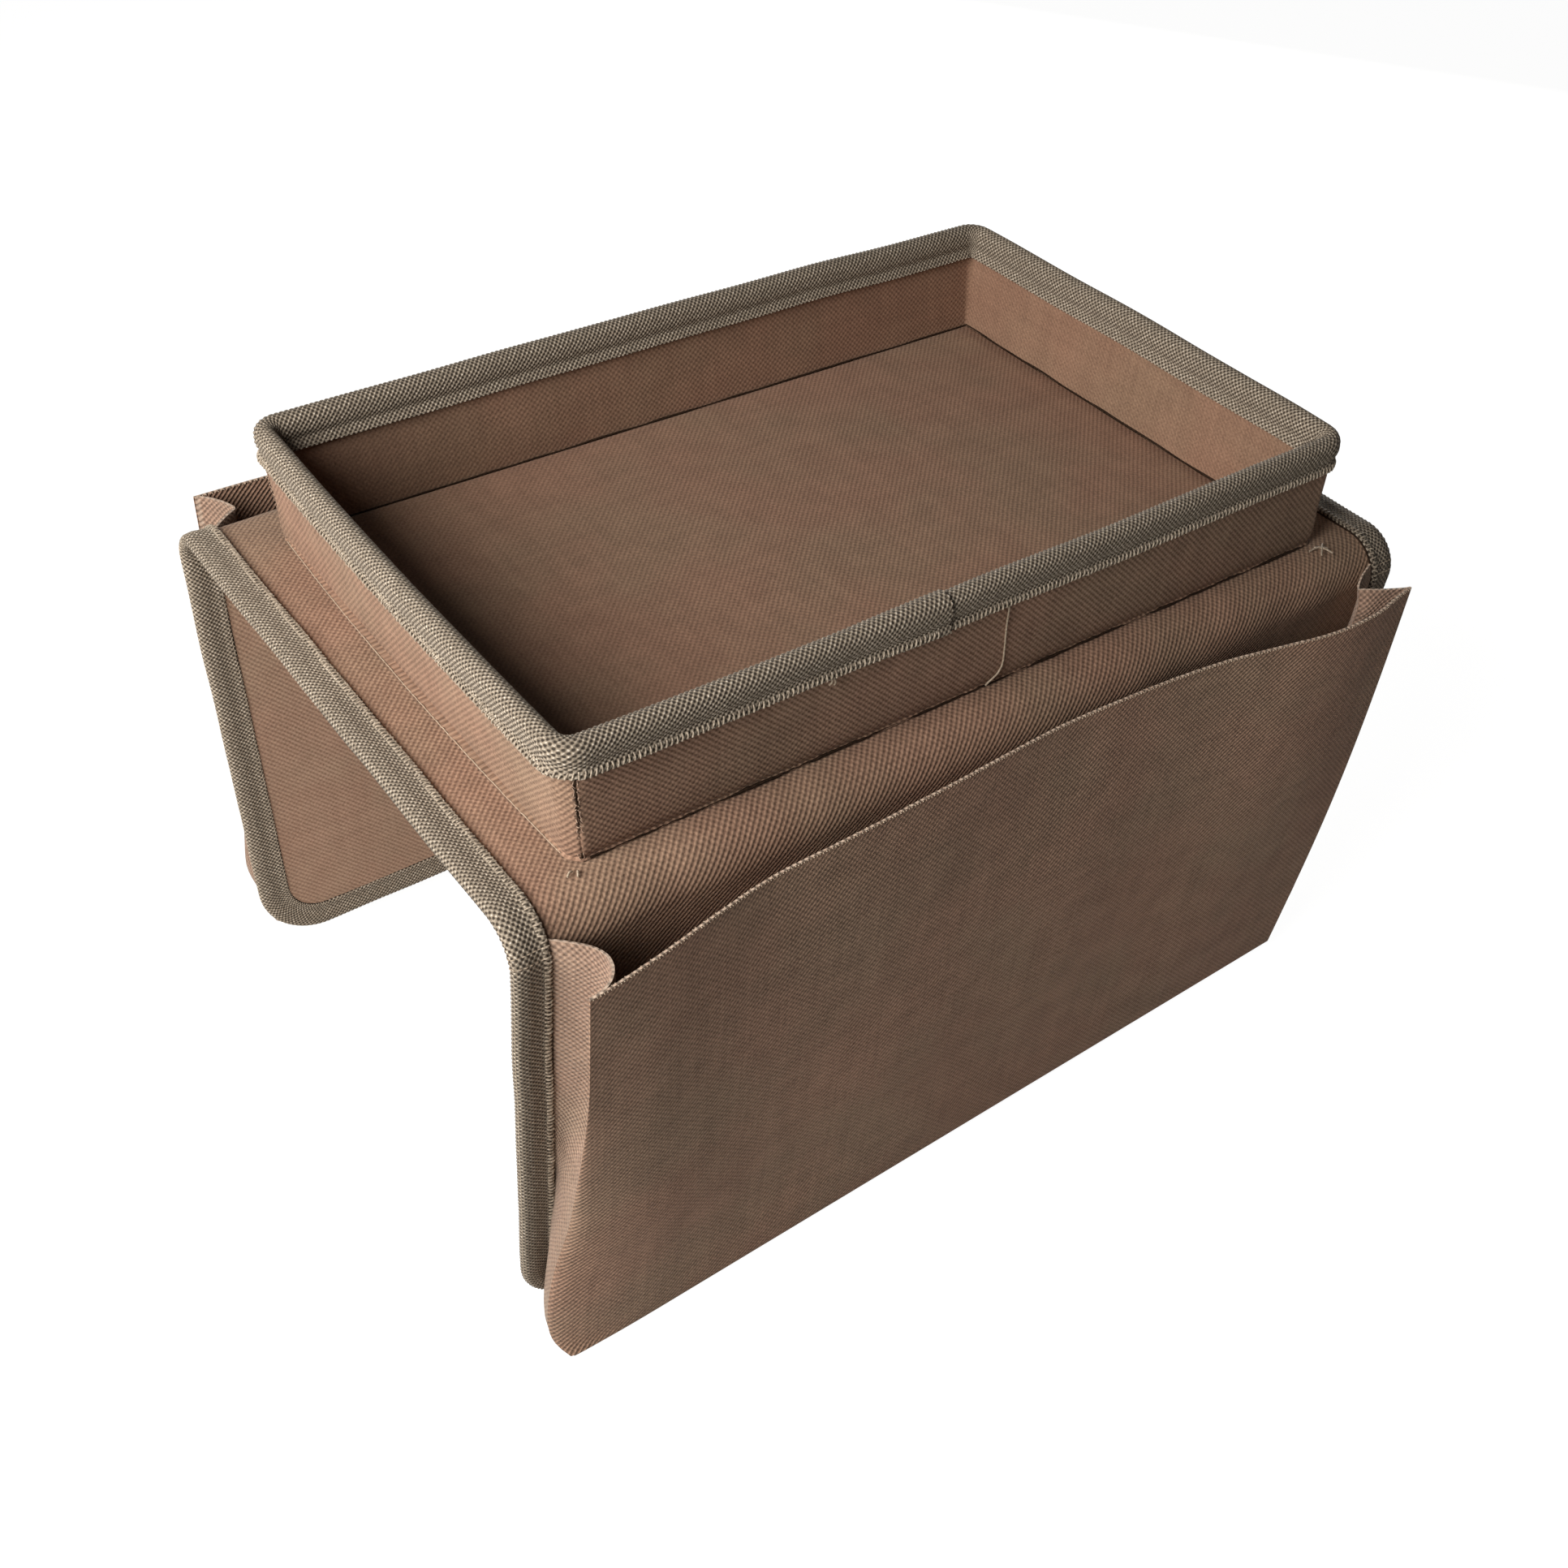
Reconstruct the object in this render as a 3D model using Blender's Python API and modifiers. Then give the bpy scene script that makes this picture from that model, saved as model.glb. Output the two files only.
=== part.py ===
"""Armrest organizer: a lined cloth saddle that lies over a sofa arm, with a taped tray on top and
a full-width gusseted pocket on the outside of each hanging flap.

Metres, +Z up. +X runs along the arm and -Y is the front. The origin is the middle of the
saddle's underside, where it rests on the arm.
"""
import math

import bmesh
import bpy
from mathutils import Vector

# Saddle
saddle_run = 0.368              # along the arm, over the tapes
over_folds = 0.236              # across the arm, from outer face to outer face
fold_radius = 0.014             # outer face of each fold
flap_corner_radius = 0.024      # lower corners of each flap
front_flap_length = 0.1755      # from the end of the fold to the cloth's edge
rear_flap_length = 0.180
front_lean = math.radians(3.0)  # how far each flap hangs in from upright
rear_lean = math.radians(4.5)

# Cloth, boards and seams
cloth_thickness = 0.0006
saddle_board_thickness = 0.0012
seam_gap = 0.0003               # between pieces that touch or are sewn together
board_margin = 0.006            # from a board's edge to the edge or fold beside it

# Binding tape of the saddle
tape_thickness = 0.0008
tape_show = 0.0115              # how much of the tape shows on each face

# Tray, measured at its foot on the saddle's top face
tray_end_margin = 0.029         # from the saddle's end to the tray's foot
tray_side_margin = 0.021        # from the outer face of a flap to the tray's foot, unshifted
tray_height = 0.046
tray_shift = 0.005              # the tray is sewn this far towards the front
tray_flare = 0.0022             # how far each wall leans out at the rim
rim_shift = 0.0030              # the soft walls lean this far to the left at the rim
wall_bow = 0.0015               # how far the middle of a wall bows out at the rim
wall_board_thickness = 0.003
floor_board_thickness = 0.0025
floor_clearance = 0.0006        # between the floor and the foot of the walls
foot_corner_radius = 0.0032     # middle of the wall
rim_corner_radius = 0.0065
rim_tape_thickness = 0.0009
rim_tape_show = 0.012
rim_join_share = -0.18          # where the tape's ends meet, as a share of half the front wall

# Pockets
pocket_end_margin = 0.010       # from the saddle's end to the pocket's end, at the bottom crease
front_mouth_narrowing = 0.001   # how much shorter the mouth is than the crease
rear_mouth_narrowing = 0.012
pocket_cloth_thickness = 0.0007
mouth_below_top = 0.007         # from the saddle's top face down to the mouth
mouth_gap = 0.006               # least room between the fold and the mouth
mouth_flare = 0.018             # how much further out the mouth reaches where it bows most
pocket_hang = 0.008             # how far the bottom crease lies below the flap's cloth edge
crease_reach = 0.018            # how far the bottom crease stands out from the flap's middle
panel_belly = 0.003             # how far the panel swells half way down
gusset_pleat = 0.015            # how deep each side gusset is pleated in at the mouth
gusset_swell = 0.011            # how far each side gusset swells out near the bottom
gusset_inset = 0.002            # from the tape's inner edge to the gusset's seam

# Where a gusset changes its shape, as shares of its rise from the bottom to the mouth
seam_settle_share = 0.33        # above this its seam lies on the flap's cloth, clear of the tape
bottom_blend_share = 0.20       # below this it dips with the bottom of the pocket
pleat_start_share = 0.25        # above this the pleat starts to grow
pleat_growth_share = 0.50       # and takes this much to reach its depth
swell_growth_share = 0.17       # the swell grows over this much
swell_end_share = 0.12          # and above this it starts to fade
swell_fade_share = 0.45         # over this much

# Reach of each pocket's mouth from its left end to its right end, as shares of mouth_flare
front_mouth_shares = (0.97, 0.82, 0.54, 0.33, 0.27, 0.24, 0.19, 0.09, 0.01, 0.0, 0.04,
                      0.26, 0.54, 0.77, 0.78, 0.57)
rear_mouth_shares = (1.0, 1.0, 0.93, 0.78, 0.54, 0.33, 0.19, 0.1, 0.04, 0.0, 0.05,
                     0.2, 0.45, 0.7, 0.83, 0.8)

# How finely the curved pieces are divided
fold_cells = 6
roll_cells = 6
corner_cells = 4
flap_corner_cells = 6
long_wall_cells = 8
short_wall_cells = 6
panel_run_cells = 20
panel_rise_cells = 8
gusset_run_cells = 10
gusset_rise_cells = 16          # closer together near both ends
bottom_cells = 6
tape_cells = roll_cells + 2     # a leg, the half round and a leg
wall_rise_cells = corner_cells // 2

# Worked out from the sizes above
half_sandwich = saddle_board_thickness / 2 + seam_gap + cloth_thickness
middle_height = half_sandwich
top_face = 2 * half_sandwich
skin_lift = saddle_board_thickness / 2 + seam_gap + cloth_thickness / 2
tape_lift = half_sandwich + seam_gap + tape_thickness / 2
tape_drop = saddle_board_thickness / 2 + seam_gap + tape_thickness / 2
tape_face = tape_lift + tape_thickness / 2
tape_reach = (tape_lift + tape_drop + tape_thickness) / 2
cloth_edge = saddle_run / 2 - tape_reach
tape_leg = tape_show - tape_reach
lining_inset = tape_leg + seam_gap
fold_start = over_folds / 2 - fold_radius
fold_middle_radius = fold_radius - half_sandwich

tray_length = saddle_run - 2 * tray_end_margin
tray_width = over_folds - 2 * tray_side_margin
half_wall = wall_board_thickness / 2 + seam_gap + cloth_thickness
wall_skin_lift = wall_board_thickness / 2 + seam_gap + cloth_thickness / 2
rim_tape_lift = half_wall + seam_gap + rim_tape_thickness / 2
rim_outside = rim_tape_lift + rim_tape_thickness / 2
wall_top = tray_height - rim_outside
rim_tape_leg = rim_tape_show - rim_outside
tray_middle = Vector((0, -tray_shift, top_face))

pocket_width = saddle_run - 2 * pocket_end_margin
front_mouth_width = pocket_width - front_mouth_narrowing
rear_mouth_width = pocket_width - rear_mouth_narrowing
gusset_seam = cloth_edge - tape_leg - gusset_inset
gusset_edge = pocket_width / 2 - pocket_cloth_thickness / 2

finishes = {
    "cloth": ((0.150, 0.088, 0.062), 0.88),
    "lining": ((0.165, 0.098, 0.070), 0.90),
    "tape": ((0.175, 0.140, 0.105), 0.82),
    "board": ((0.420, 0.400, 0.360), 0.70),
}


class Side:
    """One half of the saddle: its fold, its flap and its pocket."""

    def __init__(self, name, sign, lean, flap_length, mouth_width, mouth_shares):
        self.name = name
        self.mouth_width = mouth_width
        self.mouth_shares = mouth_shares
        self.sign = sign
        self.lean = lean
        self.turn = math.pi / 2 + lean
        self.fold_end = fold_start + fold_middle_radius * self.turn
        self.flap_end = self.fold_end + flap_length

    def point(self, x, walk, lift):
        """A point at x, walk along the cloth from the saddle's middle, lift out from its middle."""
        turn = min(max(walk - fold_start, 0) / fold_middle_radius, self.turn)
        flat = min(walk, fold_start)
        down = max(walk - self.fold_end, 0)
        radius = fold_middle_radius + lift
        y = flat + radius * math.sin(turn) + down * math.cos(self.turn)
        z = middle_height - fold_middle_radius + radius * math.cos(turn) - down * math.sin(self.turn)
        return Vector((x, self.sign * y, z))

    def fold_axis(self):
        """The line to turn the flap about, so that unfolding it flat keeps the cloth's length."""
        bent = Vector((math.sin(self.turn), math.cos(self.turn) - 1)) * fold_middle_radius
        flat = Vector((self.turn, 0)) * fold_middle_radius
        chord = flat - bent
        across = Vector((-chord.y, chord.x)) / (2 * math.tan(self.turn / 2))
        pivot = (bent + flat) / 2 + across
        return Vector((0, self.sign * (fold_start + pivot.x), middle_height + pivot.y))

    def crease(self, x):
        """The pocket's bottom crease, where the panel turns into the bottom gusset."""
        return self.point(x, self.flap_end + pocket_hang, crease_reach)


front = Side("front", -1, front_lean, front_flap_length, front_mouth_width, front_mouth_shares)
rear = Side("rear", 1, rear_lean, rear_flap_length, rear_mouth_width, rear_mouth_shares)


def between(start, end, share):
    return start + (end - start) * share


def smooth(share):
    share = min(max(share, 0), 1)
    return share * share * (3 - 2 * share)


def clear_scene():
    for thing in list(bpy.data.objects):
        bpy.data.objects.remove(thing)


def own_collection():
    collection = bpy.data.collections.new("armrest_organizer")
    bpy.context.scene.collection.children.link(collection)
    return collection


def add_finish(part, kind):
    colour, roughness = finishes[kind]
    material = bpy.data.materials.new(part.name + "_" + kind)
    material.use_nodes = True
    shader = material.node_tree.nodes["Principled BSDF"]
    shader.inputs["Base Color"].default_value = (*colour, 1)
    shader.inputs["Roughness"].default_value = roughness
    shader.inputs["Metallic"].default_value = 0
    part.data.materials.append(material)


def add_axis(name, place):
    """An empty on a joint's axis, which the pieces that turn there are parented to."""
    axis = bpy.data.objects.new(name, None)
    axis.location = place
    parts.objects.link(axis)
    return axis


def add_part(name, mesh, kind, axis):
    part = bpy.data.objects.new(name, mesh)
    parts.objects.link(part)
    if axis is not None:
        part.parent = axis
    add_finish(part, kind)
    mesh.shade_smooth()
    mesh.set_sharp_from_angle(angle=math.radians(40))
    return part


def sheet(name, kind, thickness, columns, rows, place, axis=None):
    """A thickened sheet: a grid of cells whose corners go to place(column, row)."""
    origin = axis.location if axis is not None else Vector()
    mesh = bpy.data.meshes.new(name)
    shape = bmesh.new()
    grid = bmesh.ops.create_grid(shape, x_segments=columns, y_segments=rows, size=1)
    for corner in grid["verts"]:
        column = round((corner.co.x + 1) / 2 * columns)
        row = round((corner.co.y + 1) / 2 * rows)
        corner.co = place(column, row) - origin
    shape.to_mesh(mesh)
    shape.free()
    part = add_part(name, mesh, kind, axis)
    thicken = part.modifiers.new("Thickness", "SOLIDIFY")
    thicken.thickness = thickness
    thicken.offset = 0
    thicken.use_even_offset = True
    return part


def board(name, size, centre, tilt=0, axis=None):
    """A flat board: a cube of the given size, tilted about X."""
    bpy.ops.mesh.primitive_cube_add(size=1)
    cube = bpy.context.object
    mesh = cube.data
    bpy.data.objects.remove(cube)
    mesh.name = name
    for corner in mesh.vertices:
        corner.co = Vector(side * length for side, length in zip(corner.co, size))
    part = add_part(name, mesh, "board", axis)
    part.location = centre - (axis.location if axis is not None else Vector())
    part.rotation_euler.x = tilt
    return part


def tape_section(cell, lift, drop, leg):
    """Reach beyond the cloth's edge and lift of a folded tape: a leg, a half round, a leg."""
    if cell == 0:
        return -leg, lift
    if cell == tape_cells:
        return -leg, -drop
    turn = math.pi * (cell - 1) / roll_cells
    radius = (lift + drop) / 2
    return radius * math.sin(turn), lift - radius + radius * math.cos(turn)


def make_top():
    """The top panel over the arm: outer cloth, board and lining, and its two end tapes."""
    reach = fold_start - seam_gap / 2

    def skin(lift, inset=0):
        def place(column, row):
            x = between(inset - cloth_edge, cloth_edge - inset, column)
            return Vector((x, between(-reach, reach, row), middle_height + lift))
        return place
    sheet("top_cloth", "cloth", cloth_thickness, 1, 1, skin(skin_lift))
    sheet("top_lining", "lining", cloth_thickness, 1, 1, skin(-skin_lift, lining_inset))
    size = (2 * (cloth_edge - board_margin), 2 * (fold_start - board_margin), saddle_board_thickness)
    board("top_board", size, Vector((0, 0, middle_height)))

    for name, hand in (("left_end_tape", -1), ("right_end_tape", 1)):
        def place(column, row, hand=hand):
            edge, lift = tape_section(column, tape_lift, tape_drop, tape_leg)
            y = between(-reach, reach, row)
            return Vector((hand * (cloth_edge + edge), y, middle_height + lift))
        sheet(name, "tape", tape_thickness, tape_cells, 1, place)


def make_fold(side):
    """The bend between top panel and flap, where cloth, lining and tape have no board."""
    start = fold_start + seam_gap / 2
    end = side.fold_end - seam_gap / 2

    def skin(lift, inset=0):
        def place(column, row):
            x = between(inset - cloth_edge, cloth_edge - inset, column)
            return side.point(x, between(start, end, row / fold_cells), lift)
        return place
    sheet(side.name + "_fold_cloth", "cloth", cloth_thickness, 1, fold_cells, skin(skin_lift))
    lining = skin(-skin_lift, lining_inset)
    sheet(side.name + "_fold_lining", "lining", cloth_thickness, 1, fold_cells, lining)

    for word, hand in (("left", -1), ("right", 1)):
        def tape(column, row, hand=hand):
            reach, lift = tape_section(column, tape_lift, tape_drop, tape_leg)
            walk = between(start, end, row / fold_cells)
            return side.point(hand * (cloth_edge + reach), walk, lift)
        name = side.name + "_fold_" + word + "_tape"
        sheet(name, "tape", tape_thickness, tape_cells, fold_cells, tape)


def flap_outline(side):
    """The flap's edge as (x, walk, turn) from upper left to upper right.

    turn is the way the edge faces: 0 is left, a quarter turn is down and a half turn is right.
    """
    corner_x = cloth_edge - flap_corner_radius
    corner_walk = side.flap_end - flap_corner_radius
    stations = [(-cloth_edge, side.fold_end + seam_gap / 2, 0)]
    for hand, first in ((-1, 0), (1, math.pi / 2)):
        for cell in range(flap_corner_cells + 1):
            turn = first + math.pi / 2 * cell / flap_corner_cells
            x = hand * corner_x - flap_corner_radius * math.cos(turn)
            stations.append((x, corner_walk + flap_corner_radius * math.sin(turn), turn))
    stations.append((cloth_edge, side.fold_end + seam_gap / 2, math.pi))
    return stations


def make_flap(side, axis):
    """The hanging flap: outer cloth, board, lining and the tape round its three free edges."""
    start = side.fold_end + seam_gap / 2
    corner_walk = side.flap_end - flap_corner_radius

    def skin(lift, inset=0):
        radius = flap_corner_radius - inset

        def place(column, row):
            turn = math.pi / 2 * max(row - 1, 0) / flap_corner_cells
            walk = start if row == 0 else corner_walk + radius * math.sin(turn)
            half_width = cloth_edge - flap_corner_radius + radius * math.cos(turn)
            return side.point(between(-half_width, half_width, column), walk, lift)
        return place
    rows = flap_corner_cells + 1
    sheet(side.name + "_flap_cloth", "cloth", cloth_thickness, 1, rows, skin(skin_lift), axis)
    lining = skin(-skin_lift, lining_inset)
    sheet(side.name + "_flap_lining", "lining", cloth_thickness, 1, rows, lining, axis)

    upper = side.fold_end + board_margin
    lower = side.flap_end - board_margin
    size = (2 * (cloth_edge - flap_corner_radius), saddle_board_thickness, lower - upper)
    centre = side.point(0, (upper + lower) / 2, 0)
    board(side.name + "_flap_board", size, centre, -side.sign * side.lean, axis)

    stations = flap_outline(side)

    def place(column, row):
        x, walk, turn = stations[row]
        reach, lift = tape_section(column, tape_lift, tape_drop, tape_leg)
        return side.point(x - reach * math.cos(turn), walk + reach * math.sin(turn), lift)
    name = side.name + "_flap_tape"
    sheet(name, "tape", tape_thickness, tape_cells, len(stations) - 1, place, axis)


def wall_point(wall, run, turn, height, lift):
    """A point of a tray wall.

    run goes from -1 to 1 along the wall's straight part and turn is the angle into a corner.
    height is above the saddle's top face and lift is out from the middle of the wall.
    """
    share = height / tray_height
    long_half = tray_length / 2 - half_wall + tray_flare * share
    short_half = tray_width / 2 - half_wall + tray_flare * share
    corner = between(foot_corner_radius, rim_corner_radius, share)
    half_run, half_depth = (long_half, short_half) if wall % 2 == 0 else (short_half, long_half)
    bow = wall_bow * share * (1 - run * run)
    along = run * (half_run - corner) + (corner + lift) * math.sin(turn)
    out = half_depth - corner + bow + (corner + lift) * math.cos(turn)
    quarter = wall * math.pi / 2
    x = along * math.cos(quarter) + out * math.sin(quarter)
    y = along * math.sin(quarter) - out * math.cos(quarter)
    return tray_middle + Vector((x - rim_shift * share, y, height))


def wall_stations(wall):
    """(run, turn) along a wall, from the middle of one corner to the middle of the next."""
    cells = long_wall_cells if wall % 2 == 0 else short_wall_cells
    eighth = math.pi / 4
    stations = [(-1, eighth * (cell / corner_cells - 1)) for cell in range(corner_cells)]
    stations += [(2 * cell / cells - 1, 0) for cell in range(cells + 1)]
    stations += [(1, eighth * (cell + 1) / corner_cells) for cell in range(corner_cells)]
    return stations


def make_wall(name, wall):
    """A tray wall: outer cloth, inner cloth and the board between them."""
    stations = wall_stations(wall)
    low = seam_gap
    high = wall_top - seam_gap

    def skin(lift):
        def place(column, row):
            run, turn = stations[column]
            height = between(low, high, row / rows)
            corner = between(foot_corner_radius, rim_corner_radius, height / tray_height)
            gap_turn = seam_gap / 2 / (corner + lift)
            return wall_point(wall, run, turn * (1 - gap_turn / (math.pi / 4)), height, lift)
        return place
    columns = len(stations) - 1
    rows = wall_rise_cells
    sheet(name + "_wall_cloth", "cloth", cloth_thickness, columns, rows, skin(wall_skin_lift))
    sheet(name + "_wall_lining", "lining", cloth_thickness, columns, rows, skin(-wall_skin_lift))

    cells = long_wall_cells if wall % 2 == 0 else short_wall_cells

    def place(column, row):
        return wall_point(wall, 2 * column / cells - 1, 0, between(low, high, row / rows), 0)
    sheet(name + "_wall_board", "board", wall_board_thickness, cells, rows, place)


def rim_stations():
    """(wall, run, turn) once round the rim, starting and ending at the tape's join."""
    ring = []
    for wall in (0, 1, 2, 3, 0):
        ring += [(wall, run, turn) for run, turn in wall_stations(wall)[1:]]
    first = next(i for i, (_, run, _) in enumerate(ring) if run > rim_join_share)
    lap = len(ring) - len(wall_stations(0)[1:])
    half_gap = seam_gap / tray_length
    start = (0, rim_join_share + half_gap, 0)
    end = (0, rim_join_share - half_gap, 0)
    return [start] + ring[first:first + lap] + [end]


def make_rim_tape():
    """The woven tape folded over the top of the four walls, its two ends meeting at the front."""
    stations = rim_stations()

    def place(column, row):
        wall, run, turn = stations[row]
        reach, lift = tape_section(column, rim_tape_lift, rim_tape_lift, rim_tape_leg)
        return wall_point(wall, run, turn, wall_top + reach, lift)
    sheet("rim_tape", "tape", rim_tape_thickness, tape_cells, len(stations) - 1, place)


def make_tray_floor():
    """The floor board and the cloth over it, between the foot of the walls."""
    clear = 2 * half_wall + floor_clearance
    length = tray_length - 2 * clear
    width = tray_width - 2 * clear
    board_middle = seam_gap + floor_board_thickness / 2
    cloth_middle = 2 * seam_gap + floor_board_thickness + cloth_thickness / 2
    size = (length, width, floor_board_thickness)
    board("tray_floor_board", size, tray_middle + Vector((0, 0, board_middle)))

    def place(column, row):
        x = between(-length / 2, length / 2, column)
        return tray_middle + Vector((x, between(-width / 2, width / 2, row), cloth_middle))
    sheet("tray_floor_cloth", "cloth", cloth_thickness, 1, 1, place)


def mouth_point(side, x):
    """The middle of the panel's upper edge, whose bow follows the reach shares."""
    shares = side.mouth_shares
    place = (x / pocket_width + 1 / 2) * (len(shares) - 1)
    index = min(max(int(place), 0), len(shares) - 2)
    share = between(shares[index], shares[index + 1], place - index)
    y = over_folds / 2 + mouth_gap + mouth_flare * share
    x *= side.mouth_width / pocket_width
    return Vector((x, side.sign * y, top_face - mouth_below_top))


def panel_point(side, x, rise):
    """A point of the panel's middle, at rise from 0 at the crease to 1 at the mouth."""
    point = between(side.crease(x), mouth_point(side, x), rise)
    point.y += side.sign * panel_belly * math.sin(math.pi * rise)
    return point


def bottom_point(side, x, out):
    """A point of the bottom gusset, at out from 0 on the flap to 1 at the crease."""
    start_lift = tape_face + seam_gap + pocket_cloth_thickness / 2
    start = (side.flap_end - tape_leg, start_lift)
    dip = (side.flap_end + pocket_hang, start_lift)
    end = (side.flap_end + pocket_hang, crease_reach)
    weights = ((1 - out)**2, 2 * out * (1 - out), out**2)
    walk, lift = (sum(w * p[i] for w, p in zip(weights, (start, dip, end))) for i in (0, 1))
    return side.point(x, walk, lift)


def gusset_point(side, hand, out, rise):
    """A point of a side gusset: pleated in at the mouth, swelling out near the bottom.

    out runs from 0 at the flap to 1 at the panel and rise from 0 at the bottom to 1 at the mouth.
    """
    bottom_seam = side.flap_end - tape_leg
    mouth_turn = math.acos(1 - mouth_below_top / fold_radius)
    mouth_seam = fold_start + fold_middle_radius * mouth_turn
    seam_lift = between(tape_face, half_sandwich, smooth(rise / seam_settle_share))
    seam_lift += seam_gap + pocket_cloth_thickness / 2
    seam = side.point(hand * gusset_seam, between(bottom_seam, mouth_seam, rise), seam_lift)
    edge = panel_point(side, hand * gusset_edge, rise)
    edge.y -= side.sign * (pocket_cloth_thickness + seam_gap)
    point = between(seam, edge, out)

    low = 1 - smooth(rise / bottom_blend_share)
    start = bottom_point(side, 0, 0)
    dip = bottom_point(side, 0, out) - between(start, bottom_point(side, 0, 1), out)
    point += dip * low

    tent = 1 - abs(2 * out - 1)
    bell = math.sin(math.pi * out)**2
    pleat = gusset_pleat * smooth((rise - pleat_start_share) / pleat_growth_share)
    fade = 1 - smooth((rise - swell_end_share) / swell_fade_share)
    swell = gusset_swell * smooth(rise / swell_growth_share) * fade
    point.x += hand * (swell * bell - pleat * tent)
    return point


def make_pocket(side, flap_axis, pocket_axis):
    """The pocket on a flap: the panel, the bottom gusset and the two side gussets."""
    half = pocket_width / 2
    name = side.name + "_pocket_"

    def panel(column, row):
        x = between(-half, half, column / panel_run_cells)
        gap_share = seam_gap / (top_face - mouth_below_top - side.crease(0).z)
        rise = between(gap_share, 1, row / panel_rise_cells)
        return panel_point(side, x, rise)
    thickness = pocket_cloth_thickness
    sheet(name + "panel", "cloth", thickness, panel_run_cells, panel_rise_cells, panel, pocket_axis)

    inset = pocket_cloth_thickness / 2 + seam_gap

    def bottom(column, row):
        end = between(gusset_seam, gusset_edge, row / bottom_cells) - inset
        point = bottom_point(side, between(-end, end, column), row / bottom_cells)
        return point - Vector((0, 0, pocket_cloth_thickness / 2))
    sheet(name + "bottom", "cloth", thickness, 1, bottom_cells, bottom, flap_axis)

    for word, hand in (("left", -1), ("right", 1)):
        def gusset(column, row, hand=hand):
            low = seam_gap / (top_face - side.crease(0).z)
            rise = between(low, 1, (1 - math.cos(math.pi * row / gusset_rise_cells)) / 2)
            return gusset_point(side, hand, column / gusset_run_cells, rise)
        gusset_name = name + word + "_gusset"
        sheet(gusset_name, "cloth", thickness, gusset_run_cells, gusset_rise_cells, gusset, flap_axis)


clear_scene()
parts = own_collection()
make_top()
make_tray_floor()
for wall, wall_name in enumerate(("front", "right", "rear", "left")):
    make_wall(wall_name, wall)
make_rim_tape()
for half in (front, rear):
    make_fold(half)
    fold_axis = add_axis(half.name + "_fold_axis", half.fold_axis())
    crease_axis = add_axis(half.name + "_crease_axis", half.crease(0))
    make_flap(half, fold_axis)
    make_pocket(half, fold_axis, crease_axis)
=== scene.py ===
"""Armrest organizer, dressed: woven covers, folded tapes, pleated pockets and every row of thread.

Metres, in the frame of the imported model. +X runs along the arm and -Y is the front.
"""
import bisect
import math

import bmesh
import bpy
from mathutils import Matrix, Vector, noise


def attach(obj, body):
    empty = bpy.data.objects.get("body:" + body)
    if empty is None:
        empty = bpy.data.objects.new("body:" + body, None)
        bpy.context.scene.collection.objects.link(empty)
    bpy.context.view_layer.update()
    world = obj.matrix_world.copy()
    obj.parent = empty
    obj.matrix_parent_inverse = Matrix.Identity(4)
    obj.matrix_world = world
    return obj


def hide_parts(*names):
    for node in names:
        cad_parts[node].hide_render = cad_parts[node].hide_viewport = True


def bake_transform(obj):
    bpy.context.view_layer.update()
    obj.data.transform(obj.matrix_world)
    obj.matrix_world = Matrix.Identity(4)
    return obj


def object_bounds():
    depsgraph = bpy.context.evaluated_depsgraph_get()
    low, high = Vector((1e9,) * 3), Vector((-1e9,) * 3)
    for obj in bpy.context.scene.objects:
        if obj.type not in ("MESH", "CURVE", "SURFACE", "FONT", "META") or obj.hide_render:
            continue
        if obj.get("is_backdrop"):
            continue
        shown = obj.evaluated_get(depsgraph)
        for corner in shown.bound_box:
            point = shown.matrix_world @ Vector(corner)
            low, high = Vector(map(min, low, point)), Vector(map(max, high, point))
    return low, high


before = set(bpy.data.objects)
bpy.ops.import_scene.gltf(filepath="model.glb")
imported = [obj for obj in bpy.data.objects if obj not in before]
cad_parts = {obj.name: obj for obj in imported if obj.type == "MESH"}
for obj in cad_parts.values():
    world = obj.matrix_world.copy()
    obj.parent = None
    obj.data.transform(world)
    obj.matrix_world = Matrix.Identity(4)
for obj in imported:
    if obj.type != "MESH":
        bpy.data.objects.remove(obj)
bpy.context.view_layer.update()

# Saddle
saddle_run = 0.368
over_folds = 0.236
fold_radius = 0.014
flap_corner_radius = 0.024
front_flap_length = 0.1755
rear_flap_length = 0.180
front_lean = math.radians(3.0)
rear_lean = math.radians(4.5)

# Cloth, boards and seams
cloth_thickness = 0.0006
saddle_board_thickness = 0.0012
seam_gap = 0.0003

# Binding tape of the saddle
tape_thickness = 0.0008
tape_show = 0.0115

# Tray
tray_end_margin = 0.029
tray_side_margin = 0.021
tray_height = 0.046
tray_shift = 0.005
tray_flare = 0.0022
rim_shift = 0.0030
wall_bow = 0.0015
wall_board_thickness = 0.003
floor_board_thickness = 0.0025
floor_clearance = 0.0006
foot_corner_radius = 0.0032
rim_corner_radius = 0.0065
rim_tape_thickness = 0.0009
rim_tape_show = 0.012
rim_join_share = -0.18

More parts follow.
